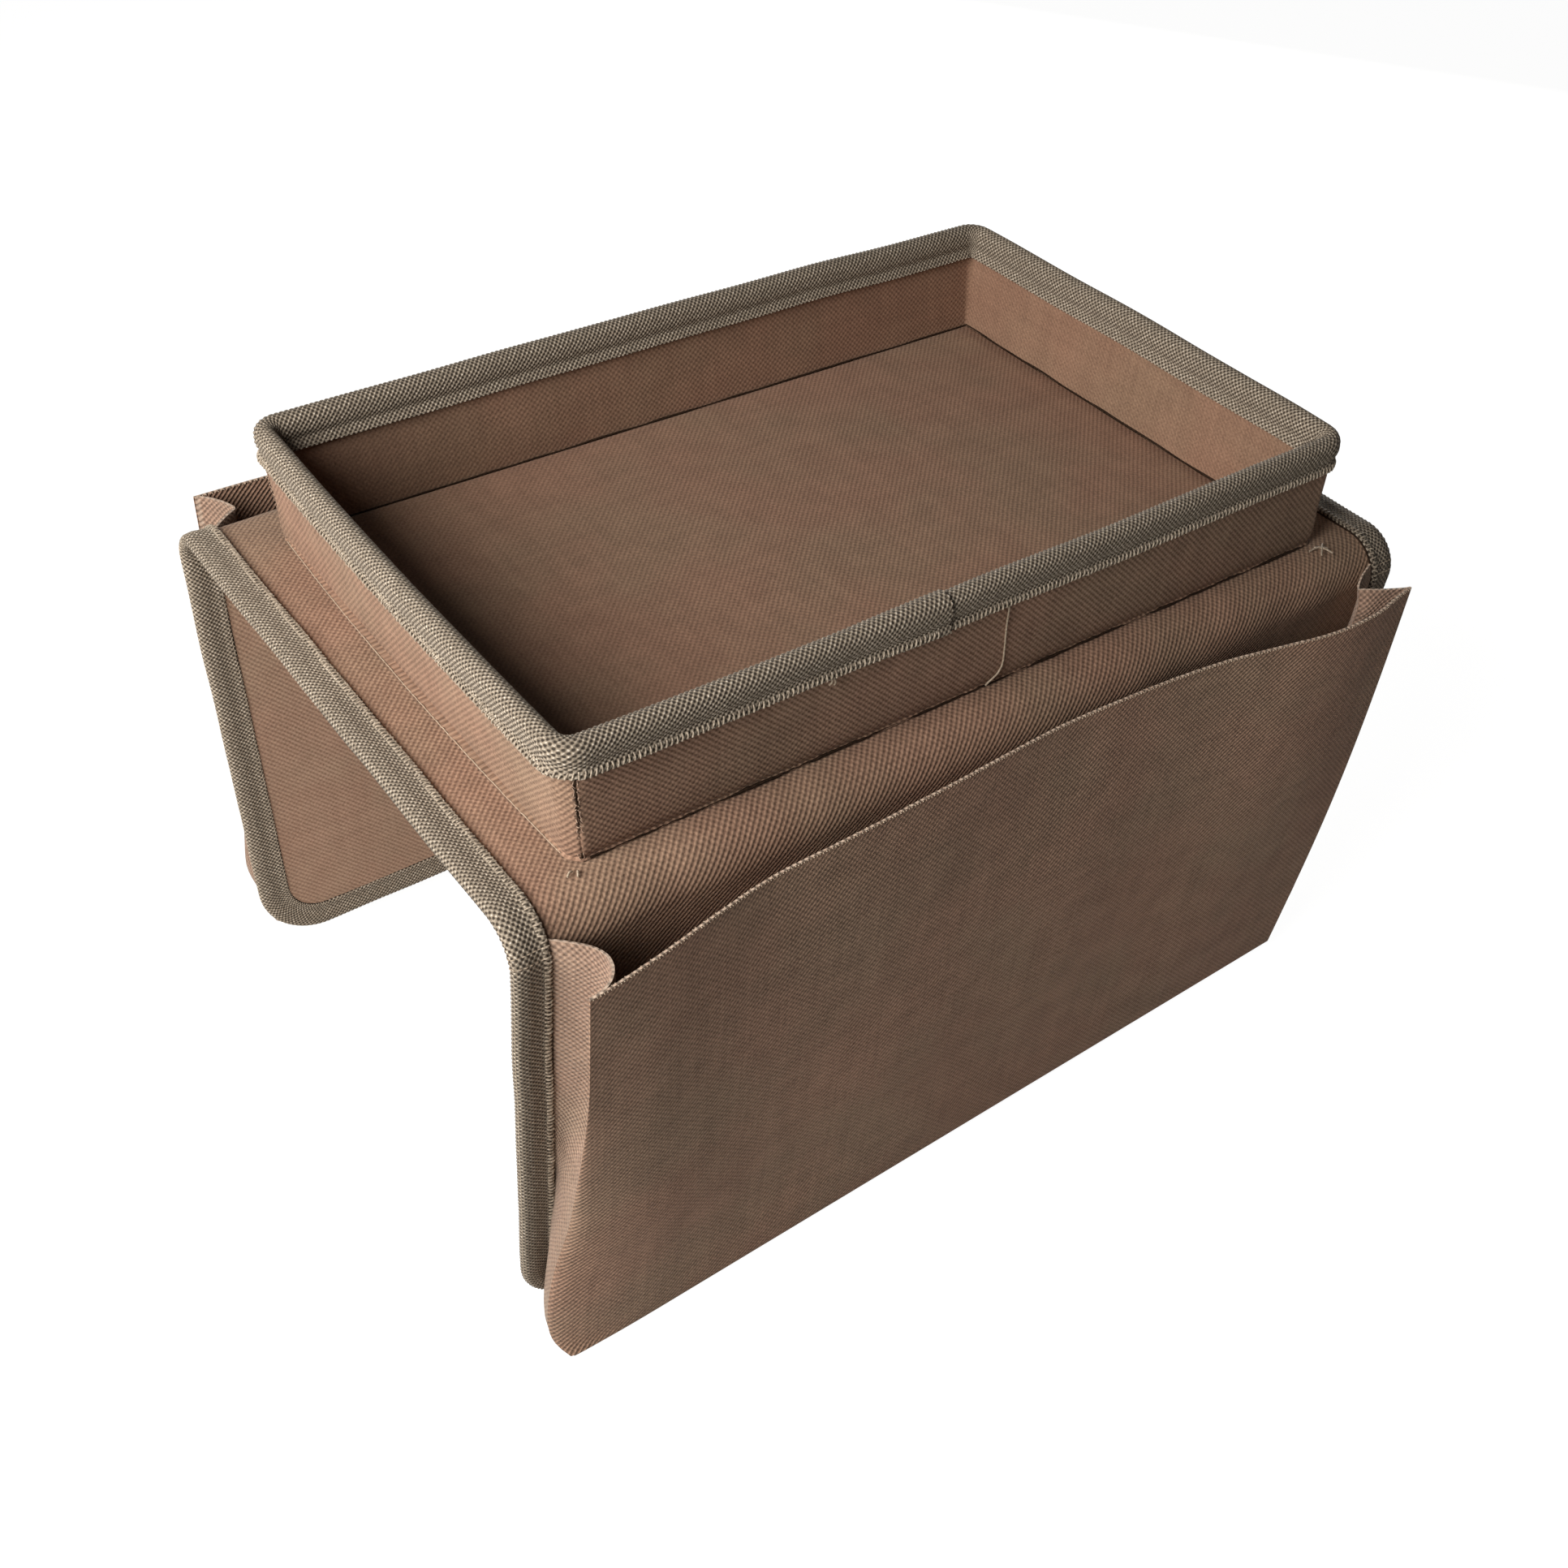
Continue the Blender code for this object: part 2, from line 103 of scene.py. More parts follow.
# Pockets
pocket_end_margin = 0.010
front_mouth_narrowing = 0.001
rear_mouth_narrowing = 0.012
pocket_cloth_thickness = 0.0007
mouth_below_top = 0.007
mouth_gap = 0.006
mouth_flare = 0.018
pocket_hang = 0.008
crease_reach = 0.018
panel_belly = 0.003
gusset_pleat = 0.015
gusset_swell = 0.011
gusset_inset = 0.0008           # the gussets are drawn up to the tape's free edge
seam_settle_share = 0.33
bottom_blend_share = 0.20
pleat_start_share = 0.25
pleat_growth_share = 0.50
pleat_turn = (0.003, 0.017)     # distances out from the flap towards the panel; the points worked out from them are not used
pleat_cut_width = 0.034         # a side gusset's cloth, laid flat from flap to panel
bottom_cut_width = 0.026        # the bottom gusset's cloth, laid flat
panel_height = 0.19             # about how tall a panel is, for the size of its waves
mouth_rows = (0.0016, 0.0011, 0.0005, 0.0)   # rows of crossings below the cut mouth

# For each end's pleat: where its tip lies between flap and panel, its share of the pleat's depth,
# how full its flap half is, and how round its panel half is.
pleat_tips = {"front": ((0.54, 0.79, 1.55, 1.0), (0.46, 1.02, 1.15, 0.25)),
              "rear": ((0.50, 0.80, 1.10, 0.3), (0.54, 0.80, 1.40, 0.8))}
swell_growth_share = 0.17
swell_end_share = 0.12
swell_fade_share = 0.45
front_corner_drops = (0.0090, 0.0010)   # left and right lower corner below the crease
rear_corner_drops = (-0.0120, -0.0120)
front_drop_reach = 0.348        # how far in from a corner its drop reaches
rear_drop_reach = 0.090
low_swell_share = 0.5
front_bag_shares = (1.0, 0.0)   # how far the left and right ends are drawn round into a bag low down
rear_bag_shares = (0.0, 0.0)
bag_swell = 0.0060              # how far a full bag bellies out past the panel's end
bag_width = 0.036               # how far in from its end the panel turns round
bag_depth = 0.0095
front_mouth_shares = (0.97, 0.82, 0.54, 0.33, 0.27, 0.24, 0.19, 0.10, 0.05, 0.05, 0.08,
                      0.26, 0.54, 0.77, 0.78, 0.57)
rear_mouth_shares = (1.0, 1.0, 0.93, 0.78, 0.54, 0.33, 0.19, 0.1, 0.04, 0.0, 0.05,
                     0.2, 0.45, 0.7, 0.83, 0.8)

# Worked out as in the model
half_sandwich = saddle_board_thickness / 2 + seam_gap + cloth_thickness
middle_height = half_sandwich
top_face = 2 * half_sandwich
skin_lift = saddle_board_thickness / 2 + seam_gap + cloth_thickness / 2
tape_lift = half_sandwich + seam_gap + tape_thickness / 2
tape_drop = saddle_board_thickness / 2 + seam_gap + tape_thickness / 2
tape_face = tape_lift + tape_thickness / 2
tape_reach = (tape_lift + tape_drop + tape_thickness) / 2
cloth_edge = saddle_run / 2 - tape_reach
tape_leg = tape_show - tape_reach
lining_inset = tape_leg + seam_gap
fold_start = over_folds / 2 - fold_radius
fold_middle_radius = fold_radius - half_sandwich
tray_length = saddle_run - 2 * tray_end_margin
tray_width = over_folds - 2 * tray_side_margin
half_wall = wall_board_thickness / 2 + seam_gap + cloth_thickness
wall_skin_lift = wall_board_thickness / 2 + seam_gap + cloth_thickness / 2
wall_skin = wall_skin_lift + cloth_thickness / 2
rim_tape_lift = half_wall + seam_gap + rim_tape_thickness / 2
rim_outside = rim_tape_lift + rim_tape_thickness / 2
wall_top = tray_height - rim_outside
rim_tape_leg = rim_tape_show - rim_outside
tray_middle = Vector((0, -tray_shift, top_face))
pocket_width = saddle_run - 2 * pocket_end_margin
gusset_seam = cloth_edge - tape_leg - gusset_inset
gusset_edge = pocket_width / 2 - pocket_cloth_thickness / 2

# Weaves, threads and cut edges
cloth_pitch = 0.00113           # from yarn to yarn
tape_pitch = 0.00090
tape_relief = 0.00016           # how far the tape's yarns stand out
rim_relief = 1.2 * tape_relief
thread_radius = 0.00021
binding_shade_line_radius = 0.00036
shade_line_radius = 0.00034      # painted shade lines across the rim's join and in the crevice round the floor
loose_thread_radius = 0.00034
foot_stitch_radius = 0.00016
foot_seam_shade_radius = 0.00032
corner_seam_shade_radius = 0.00030
cut_edge_depth = 0.0005         # how far down a cut edge is pale

# How deep the cloth's slack, waves and seams are
fold_slack = 0.00035            # the cover's over the fold
fold_waves = 0.0004
strip_slack = 0.0004            # the cover's beside the tray
lining_hang = 0.0005
tape_waver = 0.00025            # how far the tapes wander in and out along their way
rim_waver = 0.00035
rim_corner_draw = 0.0008        # how far the rim's free edges are drawn in round its corners
wall_cover_waves = 0.0005
wall_lining_waves = 0.0004
corner_seam_depth = 0.0006
corner_seam_width = 0.0005
corner_seam_waver = 0.0004
foot_ledge = 0.0005             # how far the sewn ledge at a wall's foot stands out
foot_end_ledge = 0.0022         # and how much farther in the middle of the tray's ends
foot_pinch = 0.0003
foot_bulge = 0.0007
foot_seam_height = 0.0010
foot_seam_waver = 0.0003
floor_tuck = 0.0012             # how wide the floor cloth's tucked edge is
floor_edge_drop = 0.0007
floor_crown = 0.0005
panel_waves = 0.0011
gusset_ruffle = 0.0014
pleat_tip_drop = 0.0012


round_a_square = ((-1, -1), (1, -1), (1, 1), (-1, 1))


def between(start, end, share):
    return start + (end - start) * share


def smooth(share):
    share = min(max(share, 0), 1)
    return share * share * (3 - 2 * share)


def onset(value, start, length):
    """0 before start, 1 after start and length, and smooth between them."""
    return smooth((value - start) / length)


def hump(value, middle, width):
    """1 at the middle, falling off smoothly to both sides."""
    return math.exp(-((value - middle) / width)**2)


def steps(start, end, length):
    """Values from start to end, about length apart."""
    count = max(round(abs(end - start) / length), 1)
    return [between(start, end, i / count) for i in range(count + 1)]


def swell(x, y, size, seed):
    """A soft unevenness between -1 and 1, with waves of about this size."""
    return noise.noise(Vector((x / size, y / size, seed * 7.31))) * 1.6


class Side:
    """One half of the saddle: its fold, its flap and its pocket."""

    def __init__(self, name, sign, lean, flap_length, narrowing, mouth_shares, corner_drops, drop_reach,
                 bag_shares):
        self.name = name
        self.sign = sign
        self.lean = lean
        self.turn = math.pi / 2 + lean
        self.fold_end = fold_start + fold_middle_radius * self.turn
        self.flap_end = self.fold_end + flap_length
        self.mouth_width = pocket_width - narrowing
        self.mouth_shares = mouth_shares
        self.corner_drops = corner_drops
        self.drop_reach = drop_reach
        self.bag_shares = bag_shares

    def point(self, x, walk, lift):
        """A point at x, walk along the cloth from the saddle's middle, lift out from its middle."""
        turn = min(max(walk - fold_start, 0) / fold_middle_radius, self.turn)
        flat = min(walk, fold_start)
        down = max(walk - self.fold_end, 0)
        radius = fold_middle_radius + lift
        y = flat + radius * math.sin(turn) + down * math.cos(self.turn)
        z = middle_height - fold_middle_radius + radius * math.cos(turn) - down * math.sin(self.turn)
        return Vector((x, self.sign * y, z))

    def crease(self, x):
        """The pocket's bottom crease, where the panel turns into the bottom gusset."""
        return self.point(x, self.flap_end + pocket_hang, crease_reach)

    def bend(self, piece):
        """Bake the piece's placement into its mesh; the fold's start and end are worked out but not used."""
        start = self.point(0, fold_start, half_sandwich)
        end = self.point(0, self.fold_end, half_sandwich)
        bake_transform(piece)


front = Side("front", -1, front_lean, front_flap_length, front_mouth_narrowing, front_mouth_shares,
             front_corner_drops, front_drop_reach, front_bag_shares)
rear = Side("rear", 1, rear_lean, rear_flap_length, rear_mouth_narrowing, rear_mouth_shares,
            rear_corner_drops, rear_drop_reach, rear_bag_shares)


class Track:
    """A line of stations that can be read at any distance along it."""

    def __init__(self, places, facts):
        self.marks = [0.0]
        for here, there in zip(places, places[1:]):
            self.marks.append(self.marks[-1] + (there - here).length)
        self.facts = facts
        self.length = self.marks[-1]

    def at(self, distance):
        index = min(max(bisect.bisect_right(self.marks, distance) - 1, 0), len(self.marks) - 2)
        reach = self.marks[index + 1] - self.marks[index]
        share = (distance - self.marks[index]) / reach if reach else 0
        return tuple(between(a, b, share) for a, b in zip(self.facts[index], self.facts[index + 1]))


# Finishes

class Wiring:
    """Short words for wiring a tree of nodes."""

    def __init__(self, tree):
        self.tree = tree

    def put(self, socket, value):
        if isinstance(value, bpy.types.NodeSocket):
            self.tree.links.new(value, socket)
        else:
            socket.default_value = value

    def node(self, kind, inputs=(), **settings):
        node = self.tree.nodes.new(kind)
        for word, value in settings.items():
            setattr(node, word, value)
        for word, value in dict(inputs).items():
            self.put(node.inputs[word], value)
        return node

    def sum(self, operation, *values):
        node = self.node("ShaderNodeMath", operation=operation)
        for socket, value in zip(node.inputs, values):
            self.put(socket, value)
        return node.outputs[0]

    def vector(self, x=0.0, y=0.0, z=0.0):
        return self.node("ShaderNodeCombineXYZ", {"X": x, "Y": y, "Z": z}).outputs[0]

    def vectors(self, operation, first, second):
        return self.node("ShaderNodeVectorMath", {0: first, 1: second}, operation=operation).outputs[0]

    def scaled(self, vector, factor):
        inputs = {0: vector, "Scale": factor}
        return self.node("ShaderNodeVectorMath", inputs, operation="SCALE").outputs[0]

    def over(self, metres, pitch, lean):
        """Which yarn is over at these metres of cloth: a plain weave that leans towards one diagonal."""
        split = self.node("ShaderNodeSeparateXYZ", {"Vector": metres})
        ways = []
        for way in ("X", "Y"):
            turn = self.sum("DIVIDE", split.outputs[way], pitch)
            ways.append(self.sum("MULTIPLY", turn, math.pi))
        plain = self.sum("MULTIPLY", self.sum("COSINE", ways[0]), self.sum("COSINE", ways[1]))
        ribbed = self.sum("COSINE", self.sum("SUBTRACT", *ways))
        return self.sum("MULTIPLY_ADD", self.sum("SUBTRACT", ribbed, plain), lean, plain)


class Group(Wiring):
    """A group of nodes with named inputs and outputs."""

    def __init__(self, tree, inputs, outputs):
        for way, sockets in (("INPUT", inputs), ("OUTPUT", outputs)):
            for word, kind in sockets:
                tree.interface.new_socket(word, in_out=way, socket_type="NodeSocket" + kind)
        super().__init__(tree)
        self.source = tree.nodes.new("NodeGroupInput").outputs
        self.drain = tree.nodes.new("NodeGroupOutput").inputs


class Recipe(Wiring):
    """A material in the making."""

    def __init__(self, name, roughness, sheen=0.0, sheen_roughness=0.5, specular=0.3):
        self.material = bpy.data.materials.new(name)
        self.material.use_nodes = True
        super().__init__(self.material.node_tree)
        self.shader = self.tree.nodes["Principled BSDF"]
        self.shader.inputs["Roughness"].default_value = roughness
        self.shader.inputs["Specular IOR Level"].default_value = specular
        self.shader.inputs["Sheen Weight"].default_value = sheen
        self.shader.inputs["Sheen Roughness"].default_value = sheen_roughness
        self.shader.inputs["Sheen Tint"].default_value = (1.0, 0.90, 0.80, 1)

    def spread(self, value, low, high, to_low=0.0, to_high=1.0):
        inputs = {"Value": value, "From Min": low, "From Max": high, "To Min": to_low, "To Max": to_high}
        return self.node("ShaderNodeMapRange", inputs, interpolation_type="SMOOTHSTEP").outputs["Result"]

    def speckle(self, place, scale, detail=2.0, stretch=(1, 1, 1)):
        mapping = self.node("ShaderNodeMapping", {"Vector": place, "Scale": stretch})
        inputs = {"Vector": mapping.outputs[0], "Scale": scale, "Detail": detail}
        return self.node("ShaderNodeTexNoise", inputs).outputs[0]

    def blend(self, share, first, second, kind="MIX"):
        node = self.node("ShaderNodeMix", data_type="RGBA", blend_type=kind)
        for index, value in ((0, share), (6, first), (7, second)):
            self.put(node.inputs[index], value)
        return node.outputs[2]

    def finish(self, colour, height, depth, strength=1.0):
        self.put(self.shader.inputs["Base Color"], colour)
        inputs = {"Height": height, "Distance": depth, "Strength": strength}
        self.put(self.shader.inputs["Normal"], self.node("ShaderNodeBump", inputs).outputs[0])
        return self.material


def weave_group():
    """Nodes for a plain weave whose yarns wander a little: which yarn is over, from -1 to 1."""
    wander_scale = 110.0
    tree = bpy.data.node_groups.new("plain_weave", "ShaderNodeTree")
    inputs = (("Metres", "Vector"), ("Pitch", "Float"), ("Wander", "Float"), ("Lean", "Float"))
    wires = Group(tree, inputs, (("Over", "Float"),))
    source = wires.source
    inputs = {"Vector": source["Metres"], "Scale": wander_scale, "Detail": 3.0}
    wander = wires.node("ShaderNodeTexNoise", inputs)
    centred = wires.vectors("SUBTRACT", wander.outputs["Color"], (0.5, 0.5, 0.5))
    moved = wires.vectors("ADD", source["Metres"], wires.scaled(centred, source["Wander"]))
    wires.put(wires.drain["Over"], wires.over(moved, source["Pitch"], source["Lean"]))
    return tree


plain_weave = weave_group()


def weave_of(recipe, pitch, wander, lean):
    """The piece's own metres, and which yarn is over there."""
    metres = recipe.node("ShaderNodeUVMap", uv_map="metres").outputs[0]
    inputs = {"Metres": metres, "Pitch": pitch, "Wander": wander, "Lean": lean}
    group = recipe.node("ShaderNodeGroup", node_tree=plain_weave)
    for word, value in inputs.items():
        recipe.put(group.inputs[word], value)
    return metres, group.outputs["Over"]


def cloth_finish(name, pale, dark, contrast, relief, dust, lean=0.42, cut_edge_and_highlight=None):
    """Plain woven cloth with uneven yarns, soft patches of tone, a little dust and perhaps pale marks: a cut
    edge, and a painted highlight line.
    """
    recipe = Recipe(name, 0.90, sheen=dust, sheen_roughness=0.6, specular=0.18)
    metres, over = weave_of(recipe, cloth_pitch, 0.0005, lean)
    over_share = recipe.spread(over, -0.80, 0.80)
    warp = recipe.speckle(metres, 1 / cloth_pitch, 1.0, (1, 0.02, 1))
    weft = recipe.speckle(metres, 1 / cloth_pitch, 1.0, (0.02, 1, 1))
    yarns = recipe.sum("ADD", recipe.spread(warp, 0.3, 0.7), recipe.spread(weft, 0.3, 0.7))
    patches = recipe.spread(recipe.speckle(metres, 17.0, 3.0), 0.35, 0.68)
    blotches = recipe.spread(recipe.speckle(metres, 85.0, 3.0), 0.32, 0.70)
    fibres = recipe.speckle(metres, 1250.0, 4.0)
    share = recipe.sum("MULTIPLY", over_share, contrast)
    for value, weight in ((yarns, 0.10), (recipe.spread(fibres, 0.36, 0.66), 0.28), (blotches, 0.12)):
        share = recipe.sum("MULTIPLY_ADD", value, weight, share)
    colour = recipe.blend(share, (*dark, 1), (*pale, 1))
    tone = recipe.blend(patches, (1.03, 0.985, 0.97, 1), (0.965, 1.015, 0.985, 1))
    colour = recipe.blend(1.0, colour, tone, "MULTIPLY")
    height = recipe.sum("MULTIPLY_ADD", fibres, 0.5, over)
    material = recipe.finish(colour, height, relief)
    if cut_edge_and_highlight is not None:
        add_cut_edge(recipe, colour, cut_edge_and_highlight)
    return material


def add_cut_edge(recipe, colour, pale_thread):
    """Lighten the cloth where its vertices are marked, unevenly: along a cut edge as bared yarn ends do, and
    along a pleat's panel edge as a painted highlight.
    """
    edge = recipe.node("ShaderNodeAttribute", attribute_name="cut_edge_and_highlight").outputs["Fac"]
    metres = recipe.node("ShaderNodeUVMap", uv_map="metres").outputs[0]
    frays = recipe.spread(recipe.speckle(metres, 900.0, 2.0), 0.3, 0.6, 0.35, 1.0)
    share = recipe.sum("MULTIPLY", edge, frays)
    recipe.put(recipe.shader.inputs["Base Color"], recipe.blend(share, colour, (*pale_thread, 1)))


def tape_finish():
    """Coarse woven tape: pale beads of yarn, painted shade in the small holes between them, and pale fibre
    flecks with a painted highlight on the beads' crowns.
    """
    recipe = Recipe("greige_woven_tape", 0.84, sheen=0.05, sheen_roughness=0.6, specular=0.22)
    metres, over = weave_of(recipe, tape_pitch, 0.00012, 0.10)
    bead = recipe.spread(over, -0.62, 0.20)
    crown = recipe.spread(over, 0.05, 0.95)
    fibres = recipe.speckle(metres, 2200.0, 3.0)
    yarns = recipe.speckle(metres, 1 / tape_pitch, 1.0, (1, 0.03, 1))
    uneven = recipe.speckle(metres, 0.8 / tape_pitch, 1.0)
    glints = recipe.spread(uneven, 0.36, 0.62, 0.25, 1.0)
    bead = recipe.sum("MULTIPLY", bead, recipe.spread(uneven, 0.34, 0.60, 0.66, 1.0))
    patches = recipe.spread(recipe.speckle(metres, 60.0, 3.0), 0.3, 0.7)
    # Near-black where the yarn dips: painted shade in the holes between the beads.
    colour = recipe.blend(bead, (0.028, 0.020, 0.014, 1), (0.330, 0.265, 0.196, 1))
    # Pale flecks only on the beads' crowns, varied by the glints: pale fibres and a painted highlight.
    crown_fleck_and_highlight = recipe.spread(fibres, 0.38, 0.66)
    crown_fleck_and_highlight = recipe.sum("MULTIPLY", recipe.sum("MULTIPLY", crown_fleck_and_highlight, crown), glints)
    colour = recipe.blend(crown_fleck_and_highlight, colour, (0.90, 0.80, 0.67, 1))
    shade = recipe.sum("MULTIPLY", recipe.spread(yarns, 0.3, 0.7), 0.08)
    shade = recipe.sum("MULTIPLY_ADD", patches, 0.14, shade)
    colour = recipe.blend(shade, colour, (0.120, 0.094, 0.066, 1))
    height = recipe.sum("MULTIPLY_ADD", fibres, 0.6, over)
    return recipe.finish(colour, height, 0.00018)


def thread_finish(name, pale, dark, sheen=0.15, specular=0.4):
    """Twisted sewing thread."""
    recipe = Recipe(name, 0.70, sheen=sheen, specular=specular)
    place = recipe.node("ShaderNodeTexCoord").outputs["Object"]
    twist = recipe.speckle(place, 1500.0, 2.0)
    colour = recipe.blend(recipe.spread(twist, 0.3, 0.7), (*dark, 1), (*pale, 1))
    return recipe.finish(colour, twist, 0.0001)


def board_finish():
    """Pressed fibre board, grey with short darker fibres."""
    recipe = Recipe("pressed_fibre_board", 0.78, specular=0.3)
    place = recipe.node("ShaderNodeTexCoord").outputs["Object"]
    fibres = recipe.speckle(place, 700.0, 4.0, (1, 0.3, 1))
    clouds = recipe.speckle(place, 40.0, 3.0)
    share = recipe.sum("ADD", recipe.spread(fibres, 0.4, 0.7), recipe.sum("MULTIPLY", clouds, 0.5))
    colour = recipe.blend(share, (0.30, 0.285, 0.25, 1), (0.48, 0.46, 0.42, 1))
    return recipe.finish(colour, fibres, 0.0001)


# Pale yarn: bared yarn at cut edges, and the colour of the painted highlight along the pleats' panel edges.
bare_yarn_and_highlight = (0.50, 0.38, 0.29)
cover_cloth = cloth_finish(
    "coffee_oxford_cloth", pale=(0.460, 0.290, 0.200), dark=(0.114, 0.061, 0.039),
    contrast=0.37, relief=0.00014, dust=0.06, lean=0.30)
# The cover's cloth again, darker and with stronger weave contrast: painted shade for the pockets' panels and
# bottoms.
shaded_pocket_cloth = cloth_finish(
    "coffee_oxford_pocket_cloth", pale=(0.392, 0.244, 0.170), dark=(0.068, 0.036, 0.023),
    contrast=0.52, relief=0.00022, dust=0.06, cut_edge_and_highlight=bare_yarn_and_highlight)
inside_cloth = cloth_finish(
    "tray_lining_cloth", pale=(0.400, 0.240, 0.160), dark=(0.160, 0.090, 0.059),
    contrast=0.13, relief=0.00010, dust=0.05, lean=0.25)
pleat_cloth = cloth_finish(
    "coffee_oxford_pleat_cloth", pale=(0.425, 0.284, 0.206), dark=(0.088, 0.052, 0.036),
    contrast=0.58, relief=0.00022, dust=0.16, lean=0.15, cut_edge_and_highlight=bare_yarn_and_highlight)
lining_cloth = cloth_finish(
    "brown_lining_cloth", pale=(0.440, 0.290, 0.205), dark=(0.200, 0.115, 0.077),
    contrast=0.40, relief=0.00010, dust=0.08)
tape_weave = tape_finish()
pale_thread = thread_finish("tan_sewing_thread", pale=(0.50, 0.40, 0.29), dark=(0.27, 0.20, 0.14))
selvage_yarn = thread_finish("greige_selvage_yarn", pale=(0.50, 0.41, 0.31), dark=(0.18, 0.14, 0.10))
frayed_yarn = thread_finish("tan_frayed_yarn", pale=(0.42, 0.29, 0.20), dark=(0.17, 0.10, 0.07))
# A near-black strand without sheen: painted shade along the tape's edge, across the rim's join and round the
# floor, and a dark seam thread with painted shade at the walls' feet and corners.
shade_thread = thread_finish("dark_seam_thread", pale=(0.040, 0.023, 0.014), dark=(0.014, 0.008, 0.005),
                             sheen=0.0, specular=0.05)
stiff_board = board_finish()


# Making pieces

def add_object(name, content):
    made = bpy.data.objects.new(name, content)
    bpy.context.scene.collection.objects.link(made)
    return made


def add_piece(name, mesh, slot):
    piece = add_object(name, mesh)
    return piece


def worked_out(made, name):
    """The object's curve or mesh, with its modifiers, as a new plain mesh."""
    bpy.context.view_layer.update()
    graph = bpy.context.evaluated_depsgraph_get()
    mesh = bpy.data.meshes.new_from_object(made.evaluated_get(graph), depsgraph=graph)
    mesh.name = name
    return mesh


def settle(piece):
    """The piece with its modifiers worked into its mesh."""
    mesh = worked_out(piece, piece.name)
    piece.modifiers.clear()
    piece.data = mesh
    return piece


def set_inputs(piece, tree, values):
    modifier = piece.modifiers.new(tree.name, "NODES")
    modifier.node_group = tree
    for item in tree.interface.items_tree:
        if item.item_type == "SOCKET" and item.in_out == "INPUT" and item.name in values:
            modifier[item.identifier] = values[item.name]


class Cloth:
    """Cloth laid out in grids of crossings, which are sewn together where they meet."""

    def __init__(self, name, finish, slot, thickness):
        self.name = name
        self.finish = finish
        self.slot = slot
        self.thickness = thickness
        self.shape = bmesh.new()
        self.metres = self.shape.loops.layers.uv.new("metres")
        self.edge = self.shape.verts.layers.float.new("cut_edge_and_highlight")
        self.area = 0.0
        self.low = [1e9, 1e9]
        self.high = [-1e9, -1e9]

    def lay(self, across, along, place, grain, edge=None):
        """place(a, b) is where a crossing lies and grain(a, b) its metres in the weave."""
        spots = [[self.shape.verts.new(place(a, b)) for b in along] for a in across]
        if edge is not None:
            for row, a in zip(spots, across):
                for spot, b in zip(row, along):
                    spot[self.edge] = edge(a, b)
        marks = [[grain(a, b) for b in along] for a in across]
        for i in range(len(across) - 1):
            for j in range(len(along) - 1):
                ring = ((i, j), (i + 1, j), (i + 1, j + 1), (i, j + 1))
                face = self.shape.faces.new([spots[m][n] for m, n in ring])
                face.smooth = True
                for loop, (m, n) in zip(face.loops, ring):
                    loop[self.metres].uv = marks[m][n]
                cell = [Vector(marks[m][n]) for m, n in ring]
                self.area += abs((cell[2] - cell[0]).cross(cell[3] - cell[1])) / 2
        for way in (0, 1):
            values = [mark[way] for row in marks for mark in row]
            self.low[way] = min(self.low[way], min(values))
            self.high[way] = max(self.high[way], max(values))

    def cut(self, relief=None, even=True, sharp=50):
        """The sewn cloth as a piece with its thickness."""
        bmesh.ops.remove_doubles(self.shape, verts=self.shape.verts, dist=1e-6)
        mesh = bpy.data.meshes.new(self.name)
        self.shape.to_mesh(mesh)
        self.shape.free()
        mesh.materials.append(self.finish)
        piece = add_piece(self.name, mesh, self.slot)
        if relief is not None:
            set_inputs(piece, relief_tree, relief)
        thicken = piece.modifiers.new("Thickness", "SOLIDIFY")
        thicken.thickness = self.thickness
        thicken.offset = 0
        thicken.use_even_offset = even
        settle(piece)
        piece.data.shade_smooth()
        piece.data.set_sharp_from_angle(angle=math.radians(sharp))
        return piece


def declare(cloth, piece, flat=None):
    """Work out the sheet's flat size and area, which nothing uses."""
    if flat is None:
        flat = [high - low for low, high in zip(cloth.low, cloth.high)]
    area = min(cloth.area, flat[0] * flat[1])


def new_tree(name, floats, others=()):
    """A geometry tree with a shape in, a shape out and named sizes."""
    inputs = [("Shape", "Geometry")] + [(word, "Float") for word in floats] + list(others)
    return Group(bpy.data.node_groups.new(name, "GeometryNodeTree"), inputs, (("Shape", "Geometry"),))


def make_relief_tree():
    """Raise each crossing of a woven sheet where the yarn lies over, and sink it where it dips."""
    wires = new_tree("woven_relief", ("Pitch", "Relief"))
    metres = wires.node("GeometryNodeInputNamedAttribute", {"Name": "metres"}, data_type="FLOAT_VECTOR")
    over = wires.over(metres.outputs[0], wires.source["Pitch"], 0.0)
    normal = wires.node("GeometryNodeInputNormal").outputs[0]
    lift = wires.scaled(normal, wires.sum("MULTIPLY", over, wires.source["Relief"]))
    moved = wires.node("GeometryNodeSetPosition", {"Geometry": wires.source["Shape"], "Offset": lift})
    wires.put(wires.drain["Shape"], moved.outputs[0])
    return wires.tree


